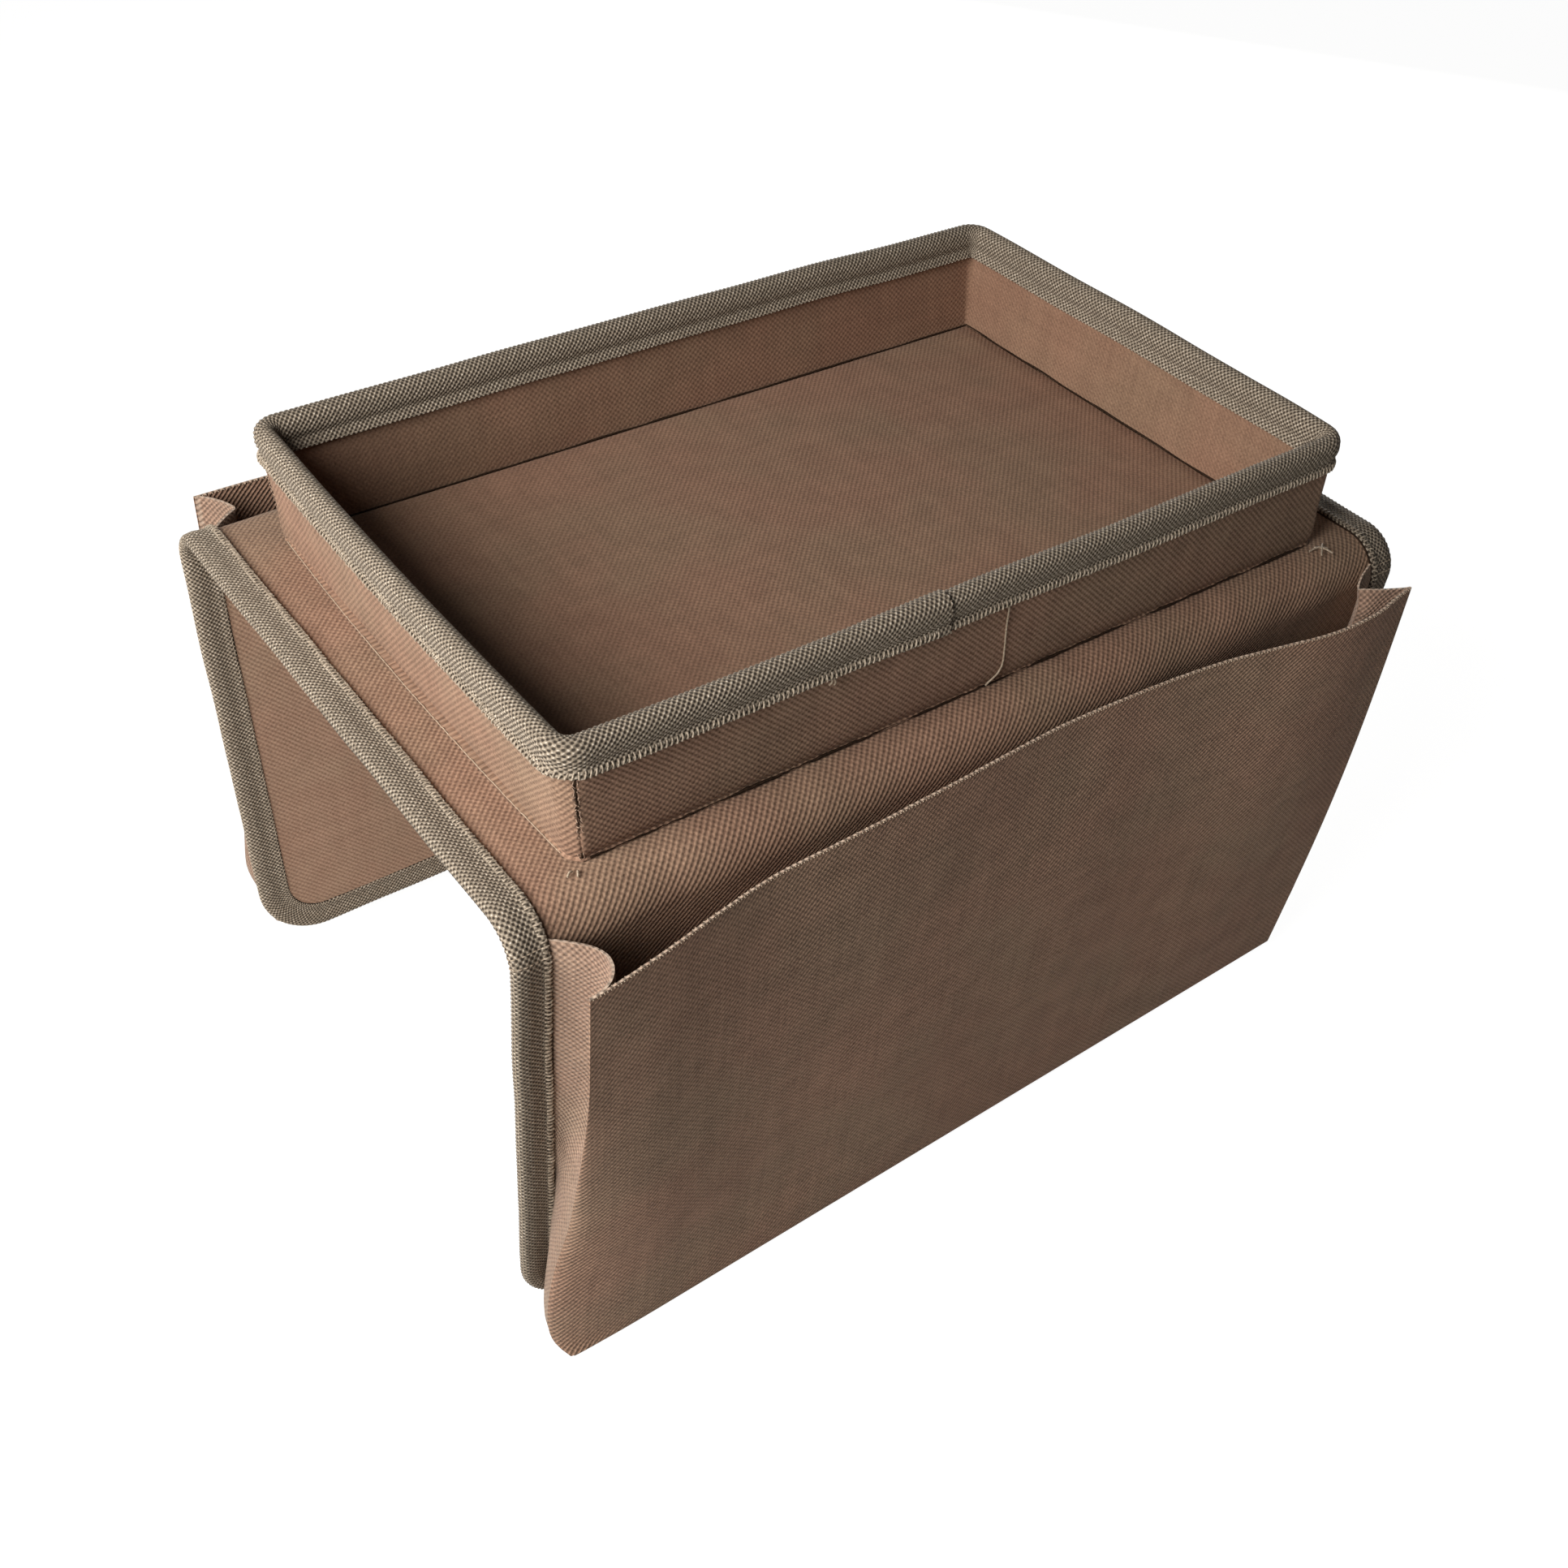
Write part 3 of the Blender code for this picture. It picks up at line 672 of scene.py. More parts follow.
def make_thread_tree():
    """Short threads along paths, each one dipping into the cloth at both ends."""
    sizes = ("Pitch", "Length", "Rise", "Sink", "Radius", "Turn", "Looseness")
    wires = new_tree("rows_of_thread", sizes, (("Seed", "Int"), ("Thread", "Material")))
    source = wires.source
    path = wires.node("GeometryNodeMeshToCurve", {"Mesh": source["Shape"]})
    inputs = {"Curve": path.outputs[0], "Length": source["Pitch"]}
    spaced = wires.node("GeometryNodeResampleCurve", inputs, mode="LENGTH")
    half = wires.sum("DIVIDE", source["Length"], 2.0)
    back = wires.sum("MULTIPLY", half, -1.0)
    under = wires.sum("MULTIPLY", source["Sink"], -1.0)
    arch = wires.node("GeometryNodeCurveQuadraticBezier", {
        "Resolution": 4, "Start": wires.vector(back, 0.0, under), "End": wires.vector(half, 0.0, under),
        "Middle": wires.vector(0.0, 0.0, source["Rise"])})
    round_line = wires.node("GeometryNodeCurvePrimitiveCircle", {"Resolution": 6, "Radius": source["Radius"]})
    thread = wires.node("GeometryNodeCurveToMesh", {
        "Curve": arch.outputs[0], "Profile Curve": round_line.outputs[0], "Fill Caps": True})
    out = wires.node("GeometryNodeInputNamedAttribute", {"Name": "out"}, data_type="FLOAT_VECTOR")
    tangent = wires.node("GeometryNodeInputTangent")
    stand = wires.node("FunctionNodeAxesToRotation", {0: out.outputs[0], 1: tangent.outputs[0]},
                       primary_axis="Z", secondary_axis="X")
    most = source["Looseness"]
    least = wires.sum("MULTIPLY", most, -1.0)
    bounds = {0: wires.vector(least, least, least), 1: wires.vector(most, most, most), "Seed": source["Seed"]}
    loose = wires.node("FunctionNodeRandomValue", bounds, data_type="FLOAT_VECTOR")
    angles = wires.vectors("ADD", wires.vector(0.0, 0.0, source["Turn"]), loose.outputs[0])
    inputs = {0: stand.outputs[0], 1: angles}
    turned = wires.node("FunctionNodeRotateRotation", inputs, rotation_space="LOCAL")
    laid = wires.node("GeometryNodeInstanceOnPoints", {
        "Points": spaced.outputs[0], "Instance": thread.outputs[0], "Rotation": turned.outputs[0]})
    real = wires.node("GeometryNodeRealizeInstances", {"Geometry": laid.outputs[0]})
    soft = wires.node("GeometryNodeSetShadeSmooth", {"Geometry": real.outputs[0]})
    dyed = wires.node("GeometryNodeSetMaterial", {"Geometry": soft.outputs[0], "Material": source["Thread"]})
    wires.put(wires.drain["Shape"], dyed.outputs[0])
    return wires.tree


relief_tree = make_relief_tree()
thread_tree = make_thread_tree()

row_sizes = {"Pitch": 0.0030, "Length": 0.0024, "Rise": 0.00045, "Sink": 0.00015, "Radius": thread_radius,
             "Turn": 0.0, "Looseness": 0.05, "Seed": 3}
edge_stitch = 0.0011            # how far the tape's stitches lie from its free edge
edge_stitch_sizes = {"pitch": 0.0017, "length": 0.0023, "rise": 0.0008, "sink": 0.0002, "radius": 0.00031,
                     "turn": 1.35, "looseness": 0.24, "thread": selvage_yarn}
inner_stitch_sizes = {"pitch": 0.0021, "length": 0.0014, "rise": 0.0003, "radius": 0.00016, "looseness": 0.15,
                      "thread": selvage_yarn}
tack_sizes = {"pitch": 0.0016, "length": 0.0012, "radius": 0.00018, "rise": 0.0003}
join_fray_sizes = {"pitch": 0.0014, "length": 0.0012, "rise": 0.0001, "sink": 0.0, "radius": 0.00012,
                   "turn": math.pi / 2, "looseness": 0.45}
corner_fray_sizes = {"pitch": 0.0013, "length": 0.0016, "rise": 0.0003, "radius": 0.00017, "turn": 0.4,
                     "looseness": 0.9, "seed": 8, "thread": frayed_yarn}
yarn_end_sizes = {"pitch": 0.00115, "length": 0.0013, "turn": math.pi / 2, "sink": 0.0005, "rise": 0.00008,
                  "radius": 0.00017, "looseness": 0.25}


def thread_rows(name, rows, slot="tape", thread=None, **changes):
    """A piece of short threads along rows, each row a list of (place, way out)."""
    mesh = bpy.data.meshes.new(name)
    places, outs, edges = [], [], []
    for row in rows:
        first = len(places)
        places += [place for place, _ in row]
        outs += [out for _, out in row]
        edges += [(i, i + 1) for i in range(first, len(places) - 1)]
    mesh.from_pydata(places, edges, [])
    out = mesh.attributes.new("out", "FLOAT_VECTOR", "POINT")
    out.data.foreach_set("vector", [c for way in outs for c in way])
    piece = add_piece(name, mesh, slot)
    sizes = {**row_sizes, **{word.capitalize(): value for word, value in changes.items()}}
    set_inputs(piece, thread_tree, {**sizes, "Thread": thread or pale_thread})
    return settle(piece)


def strand(name, paths, radius, thread, slot="cloth", uneven=0.0):
    """Single threads, each a round tube along its path of places, thicker and thinner along its way."""
    line = bpy.data.curves.new(name, "CURVE")
    line.dimensions = "3D"
    line.bevel_depth = radius
    line.bevel_resolution = 1
    line.use_fill_caps = True
    for path in paths:
        spline = line.splines.new("POLY")
        spline.points.add(len(path) - 1)
        for point, place in zip(spline.points, path):
            point.co = (*place, 1)
            point.radius = max(1 + uneven * swell(place[0] + place[2], place[1], 0.011, 17), 0.25)
    line.materials.append(thread)
    guide = add_object(name + "_guide", line)
    mesh = worked_out(guide, name)
    mesh.shade_smooth()
    bpy.data.objects.remove(guide)
    return add_piece(name, mesh, slot)


def bowed(start, end, bow, count=8):
    """Places along a thread end that bows by this vector between its two ends."""
    return [between(start, end, share) + bow * math.sin(math.pi * share) for share in steps(0, 1, 1 / count)]


def facing(spot, lift=0.0):
    """(place, way out) for a surface given as spot(extra), extra being how far out from it."""
    here = spot(lift)
    return here, (spot(lift + 0.001) - here).normalized()


# The tape's section

class Fold:
    """A tape folded over an edge, read by the distance across it from its outer free edge."""

    def __init__(self, lift, drop, leg, shape):
        radius = (lift + drop) / 2
        line = []
        for share in steps(0, 1, 1 / 40):
            line.append((-leg * (1 - share), lift + shape(leg * share)))
        for share in steps(0, 1, 1 / 24)[1:-1]:
            turn = math.pi * share
            line.append((radius * math.sin(turn), lift - radius + radius * math.cos(turn)))
        for share in steps(0, 1, 1 / 40):
            line.append((-leg * share, -drop - shape(leg * (1 - share))))
        self.track = Track([Vector(point) for point in line], line)
        self.rows = round(self.track.length / tape_pitch)
        self.pitch = self.track.length / self.rows

    def at(self, across, extra=0.0):
        """(reach, lift) at this distance across, extra out from the tape's middle."""
        here = Vector(self.track.at(across))
        if extra:
            ahead = Vector(self.track.at(min(across + 0.0002, self.track.length)))
            behind = Vector(self.track.at(max(across - 0.0002, 0)))
            way = (ahead - behind).normalized()
            here += Vector((-way.y, way.x)) * extra
        return here


def saddle_tape_shape(across):
    """The saddle's tape: a rounded free edge, a shallow stitched valley and a full outer roll."""
    edge = 0.00035 * hump(across, 0.0010, 0.0010)
    valley = 0.00010 * hump(across, 0.0028, 0.0008)
    roll = 0.00026 * onset(across, 0.0045, 0.0030) * (1 - onset(across, 0.0072, 0.0021))
    return edge + roll - valley


def rim_tape_shape(across):
    """The rim's tape: a flared free edge below a row of stitches that pulls it in."""
    flare = 0.00085 * (1 - smooth(across / 0.0030))
    groove = 0.00055 * hump(across, 0.0036, 0.0012)
    roll = 0.0002 * onset(across, 0.0046, 0.002) * (1 - onset(across, 0.0066, 0.0018))
    return flare - groove + roll


saddle_fold = Fold(tape_lift, tape_drop, tape_leg, saddle_tape_shape)
rim_fold = Fold(rim_tape_lift, rim_tape_lift, rim_tape_leg, rim_tape_shape)


def weave_tape(name, length, fold, spot, thickness, relief, way=1):
    """A folded tape with a crossing for each of its yarns: the laid out cloth and the finished piece."""
    count = round(length / tape_pitch)

    def grain(along, across):
        return way * along / (length / count) * tape_pitch, across / fold.pitch * tape_pitch
    cloth = Cloth(name, tape_weave, "tape", thickness)
    alongs = [length * i / count for i in range(count + 1)]
    acrosses = [fold.track.length * j / fold.rows for j in range(fold.rows + 1)]
    cloth.lay(alongs, acrosses, spot, grain)
    return cloth, cloth.cut({"Pitch": tape_pitch, "Relief": relief}, even=False, sharp=80)


def stitch_tape(name, lines, fold, spot, lift):
    """The rows of stitches along a folded tape's two free edges, one piece each."""
    for word, across, sizes in (("outer", edge_stitch, edge_stitch_sizes),
                                ("inner", fold.track.length - edge_stitch / 2, inner_stitch_sizes)):
        row = [facing(lambda extra: spot(s, across, extra), lift) for s in lines]
        yield thread_rows(name + "_" + word + "_stitches", [row], **sizes)


# Saddle

def half_width(side, walk, inset):
    """Half the cloth's width at this walk, with the flap's lower corners rounded off."""
    radius = flap_corner_radius - inset
    past = min(max(walk - (side.flap_end - flap_corner_radius), 0), radius)
    return cloth_edge - flap_corner_radius + math.sqrt(radius * radius - past * past)


def cover_walks(side, inset):
    """Where the crossings lie from the saddle's middle to the flap's edge."""
    corner = side.flap_end - flap_corner_radius
    radius = flap_corner_radius - inset
    walks = steps(0, fold_start, 0.005)
    walks += steps(fold_start, side.fold_end, 0.0012)[1:]
    walks += steps(side.fold_end, corner, 0.005)[1:]
    walks += [corner + radius * math.sin(math.pi / 2 * share) for share in steps(0, 1, 1 / 12)[1:]]
    return walks


def drape(side, name, finish, slot, inset, columns, place):
    """A cloth from the middle of the top over the fold to the flap's lower edge."""
    def grain(share, walk):
        return share * half_width(side, walk, inset), side.sign * walk
    cloth = Cloth(side.name + name, finish, slot, cloth_thickness)
    cloth.lay(steps(-1, 1, 1 / columns), cover_walks(side, inset), place, grain)
    piece = cloth.cut()
    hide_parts(side.name + "_fold_" + slot, side.name + "_flap_" + slot, "top_" + slot)
    side.bend(piece)
    declare(cloth, piece)


def make_cover(side):
    """The outer cloth, a little slack over the fold and in the strips beside the tray."""
    strip_start = tray_length / 2 + 0.002
    strip_end = cloth_edge - tape_leg - 0.001

    def place(share, walk):
        x = share * half_width(side, walk, 0)
        clear = smooth((gusset_seam - 0.006 - abs(x)) / 0.02)
        bend = onset(walk, fold_start - 0.006, 0.008) * (1 - onset(walk, side.fold_end, 0.01))
        ease = (fold_slack + fold_waves * swell(x, walk, 0.03, 1)) * clear * bend
        strip = onset(abs(x), strip_start, 0.006) * smooth((strip_end - abs(x)) / 0.004)
        strip *= 1 - onset(walk, fold_start - 0.004, 0.006)
        ease += strip_slack * strip * (1 + 0.5 * swell(x, walk, 0.05, 2))
        return side.point(x, walk, skin_lift + max(ease, 0))
    drape(side, "_cover", cover_cloth, "cloth", 0, 34, place)


def make_saddle_lining(side):
    """The lining under the top and inside the flap, between the tape's inner edges."""
    def place(share, walk):
        x = share * half_width(side, walk, lining_inset)
        hang = onset(walk, side.fold_end + 0.01, 0.04) * (1 - share**6)
        ease = lining_hang * hang * (1 + swell(x, walk, 0.07, 4))
        return side.point(x, walk, -skin_lift - max(ease, 0))
    drape(side, "_saddle_lining", lining_cloth, "lining", lining_inset, 28, place)


def saddle_edge(side):
    """The cloth's edge from the middle of the left end round the flap to the right end."""
    corner_x = cloth_edge - flap_corner_radius
    corner_walk = side.flap_end - flap_corner_radius
    stations = [(-cloth_edge, walk, 0.0) for walk in steps(0, corner_walk, 0.002)]
    for hand, first in ((-1, 0), (1, math.pi / 2)):
        for share in steps(0, 1, 1 / 24)[1:]:
            turn = first + math.pi / 2 * share
            x = hand * corner_x - flap_corner_radius * math.cos(turn)
            stations.append((x, corner_walk + flap_corner_radius * math.sin(turn), turn))
        if hand < 0:
            stations += [(x, side.flap_end, math.pi / 2) for x in steps(-corner_x, corner_x, 0.004)[1:]]
    stations += [(cloth_edge, walk, math.pi) for walk in steps(corner_walk, 0, 0.002)[1:]]
    return Track([side.point(x, walk, 0) for x, walk, _ in stations], stations)


def make_binding(side):
    """The folded tape round the saddle's ends and the flap's free edges, its stitches, and a dark strand of
    painted shade along its inner edge.
    """
    edge = saddle_edge(side)

    def spot(along, across, extra=0.0):
        x, walk, turn = edge.at(along)
        reach, lift = saddle_fold.at(across, extra)
        reach += tape_waver * swell(along, 0, 0.03, 5) * min(along, edge.length - along, 0.02) / 0.02
        return side.point(x - reach * math.cos(turn), walk + reach * math.sin(turn), lift)
    cloth, piece = weave_tape(side.name + "_binding", edge.length, saddle_fold, spot, tape_thickness,
                              tape_relief, side.sign)
    nodes = [side.name + word for word in ("_fold_left_tape", "_fold_right_tape", "_flap_tape")]
    nodes += ["left_end_tape", "right_end_tape"]
    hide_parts(*nodes)
    side.bend(piece)
    declare(cloth, piece,
            flat=(edge.length, saddle_fold.track.length))

    half = tape_thickness / 2
    lines = steps(0.001, edge.length - 0.001, 0.002)
    for row in stitch_tape(side.name + "_binding", lines, saddle_fold, spot, half):
        side.bend(row)

    # A dark strand just past the tape's inner edge: painted shade of the gap under that edge.
    def beside(along):
        x, walk, turn = edge.at(along)
        reach = -tape_leg - 0.0003
        return side.point(x - reach * math.cos(turn), walk + reach * math.sin(turn), half_sandwich + 0.0001)
    seam = [beside(along) for along in lines]
    side.bend(strand(side.name + "_binding_seam", [seam], binding_shade_line_radius, shade_thread, "tape", 0.7))

    tacks = []
    first_tack = fold_start + fold_middle_radius * 1.15
    for end in (0, edge.length):
        for reach in (first_tack, first_tack + 0.003):
            along = abs(end - reach)
            acrosses = steps(0.001, saddle_fold.track.length / 2, 0.001)
            tacks.append([facing(lambda extra: spot(along, across, extra), half) for across in acrosses])
    side.bend(thread_rows(side.name + "_binding_tacks", tacks, **tack_sizes))


# Tray

def wall_length(wall):
    return tray_length if wall % 2 == 0 else tray_width


def wall_point(wall, run, turn, height, lift):
    """A point of a tray wall, as in the model."""
    share = height / tray_height
    long_half = tray_length / 2 - half_wall + tray_flare * share
    short_half = tray_width / 2 - half_wall + tray_flare * share
    corner = corner_radius(height)
    half_run, half_depth = (long_half, short_half) if wall % 2 == 0 else (short_half, long_half)
    bow = wall_bow * share * (1 - run * run)
    along = run * (half_run - corner) + (corner + lift) * math.sin(turn)
    out = half_depth - corner + bow + (corner + lift) * math.cos(turn)
    quarter = wall * math.pi / 2
    x = along * math.cos(quarter) + out * math.sin(quarter)
    y = along * math.sin(quarter) - out * math.cos(quarter)
    return tray_middle + Vector((x - rim_shift * share, y, height))


def turned_point(wall, run, turn, height, lift):
    """The same, at the sharp corner of the outside cloth."""
    return wall_point(wall, run, turn, height, squared(turn, height, lift))


def wall_metres(wall, run, turn, height, lift):
    """How far along the wall's own cloth a point lies."""
    share = height / tray_height
    half = wall_length(wall) / 2 - half_wall + tray_flare * share
    corner = corner_radius(height)
    return run * (half - corner) + (corner + lift) * turn


seam_turn = math.pi / 8         # where the corner's seam lies, past the wall's own flat


def wall_stations(wall):
    """(run, turn) along a wall's cloth, from the seam at one corner to the seam at the next."""
    start = [(-1.0, -seam_turn * share) for share in (1.0, 0.94, 0.86, 0.74, 0.5)]
    middle = [(run, 0.0) for run in steps(-1, 1, 0.009 / wall_length(wall))]
    turns = [math.radians(angle) for angle in (8, 16, 22, 28, 36, 45, 52, 57, 61, 64, 66, 67.5)]
    return start + middle + [(1.0, turn) for turn in turns]


def corner_radius(height):
    return between(foot_corner_radius, rim_corner_radius, height / tray_height)


def squared(turn, height, lift):
    """The lift that draws a wall's rounded outside corner out to a facet below the rim's tape."""
    sharp = 0.9 if turn < 0 or turn > math.pi / 4 else 0.5
    sharp *= 1 - onset(height, 0.024, 0.010)
    facet = turn - math.pi / 4 if turn > math.pi / 8 else turn
    return lift + (corner_radius(height) + lift) * (1 / math.cos(facet) - 1) * sharp


def seam_groove(wall, run, turn, height):
    """How deep the corner seam pulls the wall's outside in at this place."""
    bend = corner_radius(height) + wall_skin_lift
    if turn > 0:
        gap = bend * (math.tan(seam_turn) - math.tan(turn - math.pi / 4))
    else:
        gap = bend * (math.tan(seam_turn) - math.tan(-turn)) + (1 + run) * wall_length(wall) / 2
    waver = 0.0003 * swell(height, wall, 0.0016, 12)
    return corner_seam_depth * hump(gap + waver, 0, corner_seam_width)


def foot_reach(wall, run):
    """How far the sewn ledge at a wall's foot stands out: at the ends it widens towards the middle."""
    return foot_ledge + (foot_end_ledge * max(1 - run * run, 0) if wall % 2 else 0)


def foot_profile(height, wall=0, run=0.0):
    """How far the wall's outside stands out above its foot: a sewn ledge, a crevice, then a soft bulge."""
    ledge = foot_reach(wall, run) * (1 - onset(height, 0.0008, 0.0004))
    pinch = foot_pinch * hump(height, 0.0017, 0.0006)
    bulge = foot_bulge * onset(height, 0.0018, 0.003) * (1 - onset(height, 0.007, 0.012))
    return ledge - pinch + bulge


def make_walls(name, lift, finish, nodes):
    """One cloth skin round the four walls, sewn at each corner."""
    cloth = Cloth(name, finish, "cloth", cloth_thickness)
    outside = lift > 0
    heights = [seam_gap + 0.0003, 0.0008, 0.0010, 0.0012, 0.0015, 0.0019, 0.0024, 0.0032, 0.0045]
    heights += steps(0.006, wall_top - seam_gap, 0.0035)
    for wall in range(4):
        def place(station, height, wall=wall):
            run, turn = station
            slack = math.sin(math.pi * min(height / wall_top, 1)) * (1 - run * run)
            if outside:
                seam = seam_groove(wall, run, turn, height) * onset(height, 0.0015, 0.003)
                wave = max(0.4 + swell(run * 5, height / 0.03 + wall * 3, 1.0, 6), 0)
                depth = lift + foot_profile(height, wall, run) - seam + wall_cover_waves * wave * slack
                return turned_point(wall, run, turn, height, depth)
            wave = max(0.3 + swell(run * 4, height / 0.03 + wall * 5, 1.0, 7), 0)
            return wall_point(wall, run, turn, height, lift - wall_lining_waves * wave * slack)

        def grain(station, height, wall=wall):
            run, turn = station
            way = -1 if outside and wall % 2 == 0 else 1
            return way * (wall * 0.5 + wall_metres(wall, run, turn, height, lift)), height
        cloth.lay(wall_stations(wall), heights, place, grain)
    piece = cloth.cut(even=False)
    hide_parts(*nodes)
    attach(piece, "saddle_top")
    around = 2 * (tray_length + tray_width)
    declare(cloth, piece, flat=(around, wall_top))


def rim_ring():
    """Once round the rim from the tape's join at the front."""
    stations = [(0, run, 0.0) for run in steps(rim_join_share, 1, 0.01)]
    eighth = math.pi / 4
    for wall in range(4):
        stations += [(wall, 1.0, turn) for turn in steps(0, eighth, eighth / 12)[1:]]
        following = (wall + 1) % 4
        stations += [(following, -1.0, turn) for turn in steps(-eighth, 0, eighth / 12)]
        last = rim_join_share if following == 0 else 1
        stations += [(following, run, 0.0) for run in steps(-1, last, 0.02)[1:]]
    places = [wall_point(int(wall), run, turn, wall_top, 0) for wall, run, turn in stations]
    return Track(places, stations)


rim = rim_ring()
rim_lap = 0.0030                # how far the tape's end lies over its start


def rim_spot(along, across, extra=0.0):
    """A point of the rim's tape, at distances along the rim and across the tape."""
    wall, run, turn = rim.at(along if along <= rim.length else along - rim.length)
    lap = rim_tape_thickness * smooth((along - rim.length + 0.040) / 0.040)
    lap -= 0.0004 * (1 - smooth(along / 0.008))
    reach, lift = rim_fold.at(across, extra + lap)
    free = min(across, rim_fold.track.length - across)
    draw = rim_corner_draw * (1 - smooth(free / 0.0032)) * smooth(abs(turn) * 4 / math.pi)
    lift -= math.copysign(draw, lift)
    waver = rim_waver * swell(along, 0, 0.045, 8) * smooth(along / 0.02) * smooth((rim.length - along) / 0.02)
    return wall_point(round(wall), run, turn, wall_top + reach + waver, lift)


def make_rim_binding():
    """The woven tape folded over the walls, its end lapped over its start at the front."""
    whole = rim.length + rim_lap
    cloth, piece = weave_tape("rim_binding", whole, rim_fold, rim_spot, rim_tape_thickness, rim_relief)
    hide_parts("rim_tape")
    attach(piece, "saddle_top")
    declare(cloth, piece,
            flat=(whole, rim_fold.track.length))


def make_rim_stitches():
    """The rows of thread that hold the rim's tape, its frayed end, and a dark strand of painted shadow across
    the join.
    """
    half = rim_tape_thickness / 2
    lines = steps(0.002, rim.length - 0.002, 0.002)
    for row in stitch_tape("rim", lines, rim_fold, rim_spot, half):
        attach(row, "saddle_top")

    end = rim.length + rim_lap
    acrosses = steps(0.0005, rim_fold.track.length - 0.0005, 0.0005)
    row = [facing(lambda extra: rim_spot(end - 0.0003, across, extra), 0.0002) for across in acrosses]
    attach(thread_rows("rim_join_fray", [row], **join_fray_sizes), "saddle_top")
    # The step where the tape's end lies over its start: painted shadow as a dark strand across the join.
    cut = [rim_spot(end + 0.0001, across, 0.0) for across in acrosses]
    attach(strand("rim_join_shade_line", [cut], shade_line_radius, shade_thread, "tape"), "saddle_top")


def make_foot_seams():
    """The row of thread along each wall's foot: pale stitches on the ends, and on the sides a dark seam
    thread that also paints the shade of the crease at the foot.
    """
    for name, walls, thread, radius, uneven in (
            ("end_foot_stitches", (1, 3), pale_thread, foot_stitch_radius, 0.2),
            ("side_foot_seam_shade", (0, 2), shade_thread, foot_seam_shade_radius, 0.9)):
        paths = []
        for wall in walls:
            runs = steps(-1, 1, 0.0012 / wall_length(wall))
            heights = [foot_seam_height + foot_seam_waver * swell(run * 60, wall, 1.0, 15) for run in runs]
            paths.append([wall_point(wall, run, 0, height, wall_skin + foot_reach(wall, run) - 0.0001)
                          for run, height in zip(runs, heights)])
        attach(strand(name, paths, radius, thread, uneven=uneven), "saddle_top")


def make_corner_seams():
    """The dark seam at each corner of the tray, a seam thread with painted shade of its groove, with frayed
    yarns on both sides.
    """
    heights = steps(0.0016, wall_top - 0.0095, 0.0007)
    seams, rows = [], []
    for wall in range(4):
        def beside(height, gap, extra, wall=wall):
            turn = math.atan(math.tan(seam_turn) - abs(gap) / (corner_radius(height) + wall_skin))
            if gap > 0:
                return turned_point(wall, -1, -turn, height, wall_skin + extra)
            return turned_point((wall - 1) % 4, 1, math.pi / 4 + turn, height, wall_skin + extra)
        wavers = [corner_seam_waver * swell(height, wall, 0.0021, 14) for height in heights]
        # A dark strand sunk in each corner's groove: seam thread and painted shade.
        seams.append([beside(height, waver, -0.0002) for height, waver in zip(heights, wavers)])
        for gap in (-0.0007, 0.0006):
            rows.append([facing(lambda extra: beside(height, gap, extra)) for height in heights])
    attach(strand("corner_seam_shade_lines", seams, corner_seam_shade_radius, shade_thread, uneven=0.6), "saddle_top")
    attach(thread_rows("corner_frays", rows, "cloth", **corner_fray_sizes), "saddle_top")


def make_loose_threads():
    """Thread ends left by the sewing on the tray's front and by its near corner."""
    skin = wall_skin + 0.0004
    front_half = tray_length / 2 - half_wall

    def on_wall(x, height, extra=0.0):
        share = height / tray_height
        run = (x + rim_shift * share) / (front_half + tray_flare * share - rim_corner_radius)
        return wall_point(0, run, 0, height, skin + foot_profile(height) + extra)
    hanging = [(-0.0016, 0.0352, 0.0004), (-0.0012, 0.0325, 0.0010), (0.0002, 0.0253, 0.0003),
               (0.0017, 0.0168, 0.0001), (0.0022, 0.0102, 0.0001), (0.0019, 0.0075, 0.0002),
               (0.0009, 0.0052, 0.0002), (-0.0006, 0.0036, 0.0003), (-0.0022, 0.0024, 0.0006),
               (-0.0032, 0.0016, 0.0010)]
    places = [on_wall(*spot) for spot in hanging]
    track = Track(places, places)
    paths = [[Vector(track.at(reach)) for reach in steps(0, track.length, 0.0008)]]
    tufts = ((-0.0696, 0.0345, -0.0700, 0.0318), (-0.0690, 0.0345, -0.0682, 0.0312))
    for x, height, end_x, end_height in tufts:
        start, end = on_wall(x, height, 0.0006), on_wall(end_x, end_height, 0.0012)
        paths.append(bowed(start, end, Vector((0.0004, -0.0006, 0))))
    flat = top_face + 0.0008
    lying = (((0.1482, -0.1060), (0.1556, -0.1080)), ((0.1502, -0.1100), (0.1562, -0.1052)),
             ((0.1515, -0.1052), (0.1548, -0.1112)), ((-0.1566, -0.1046), (-0.1588, -0.1056)),
             ((-0.1552, -0.1052), (-0.1562, -0.1070)))
    for start, end in lying:
        paths.append(bowed(Vector((*start, flat)), Vector((*end, flat)), Vector((0.0003, 0.0005, 0.0006))))
    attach(strand("loose_threads", paths, loose_thread_radius, pale_thread), "saddle_top")


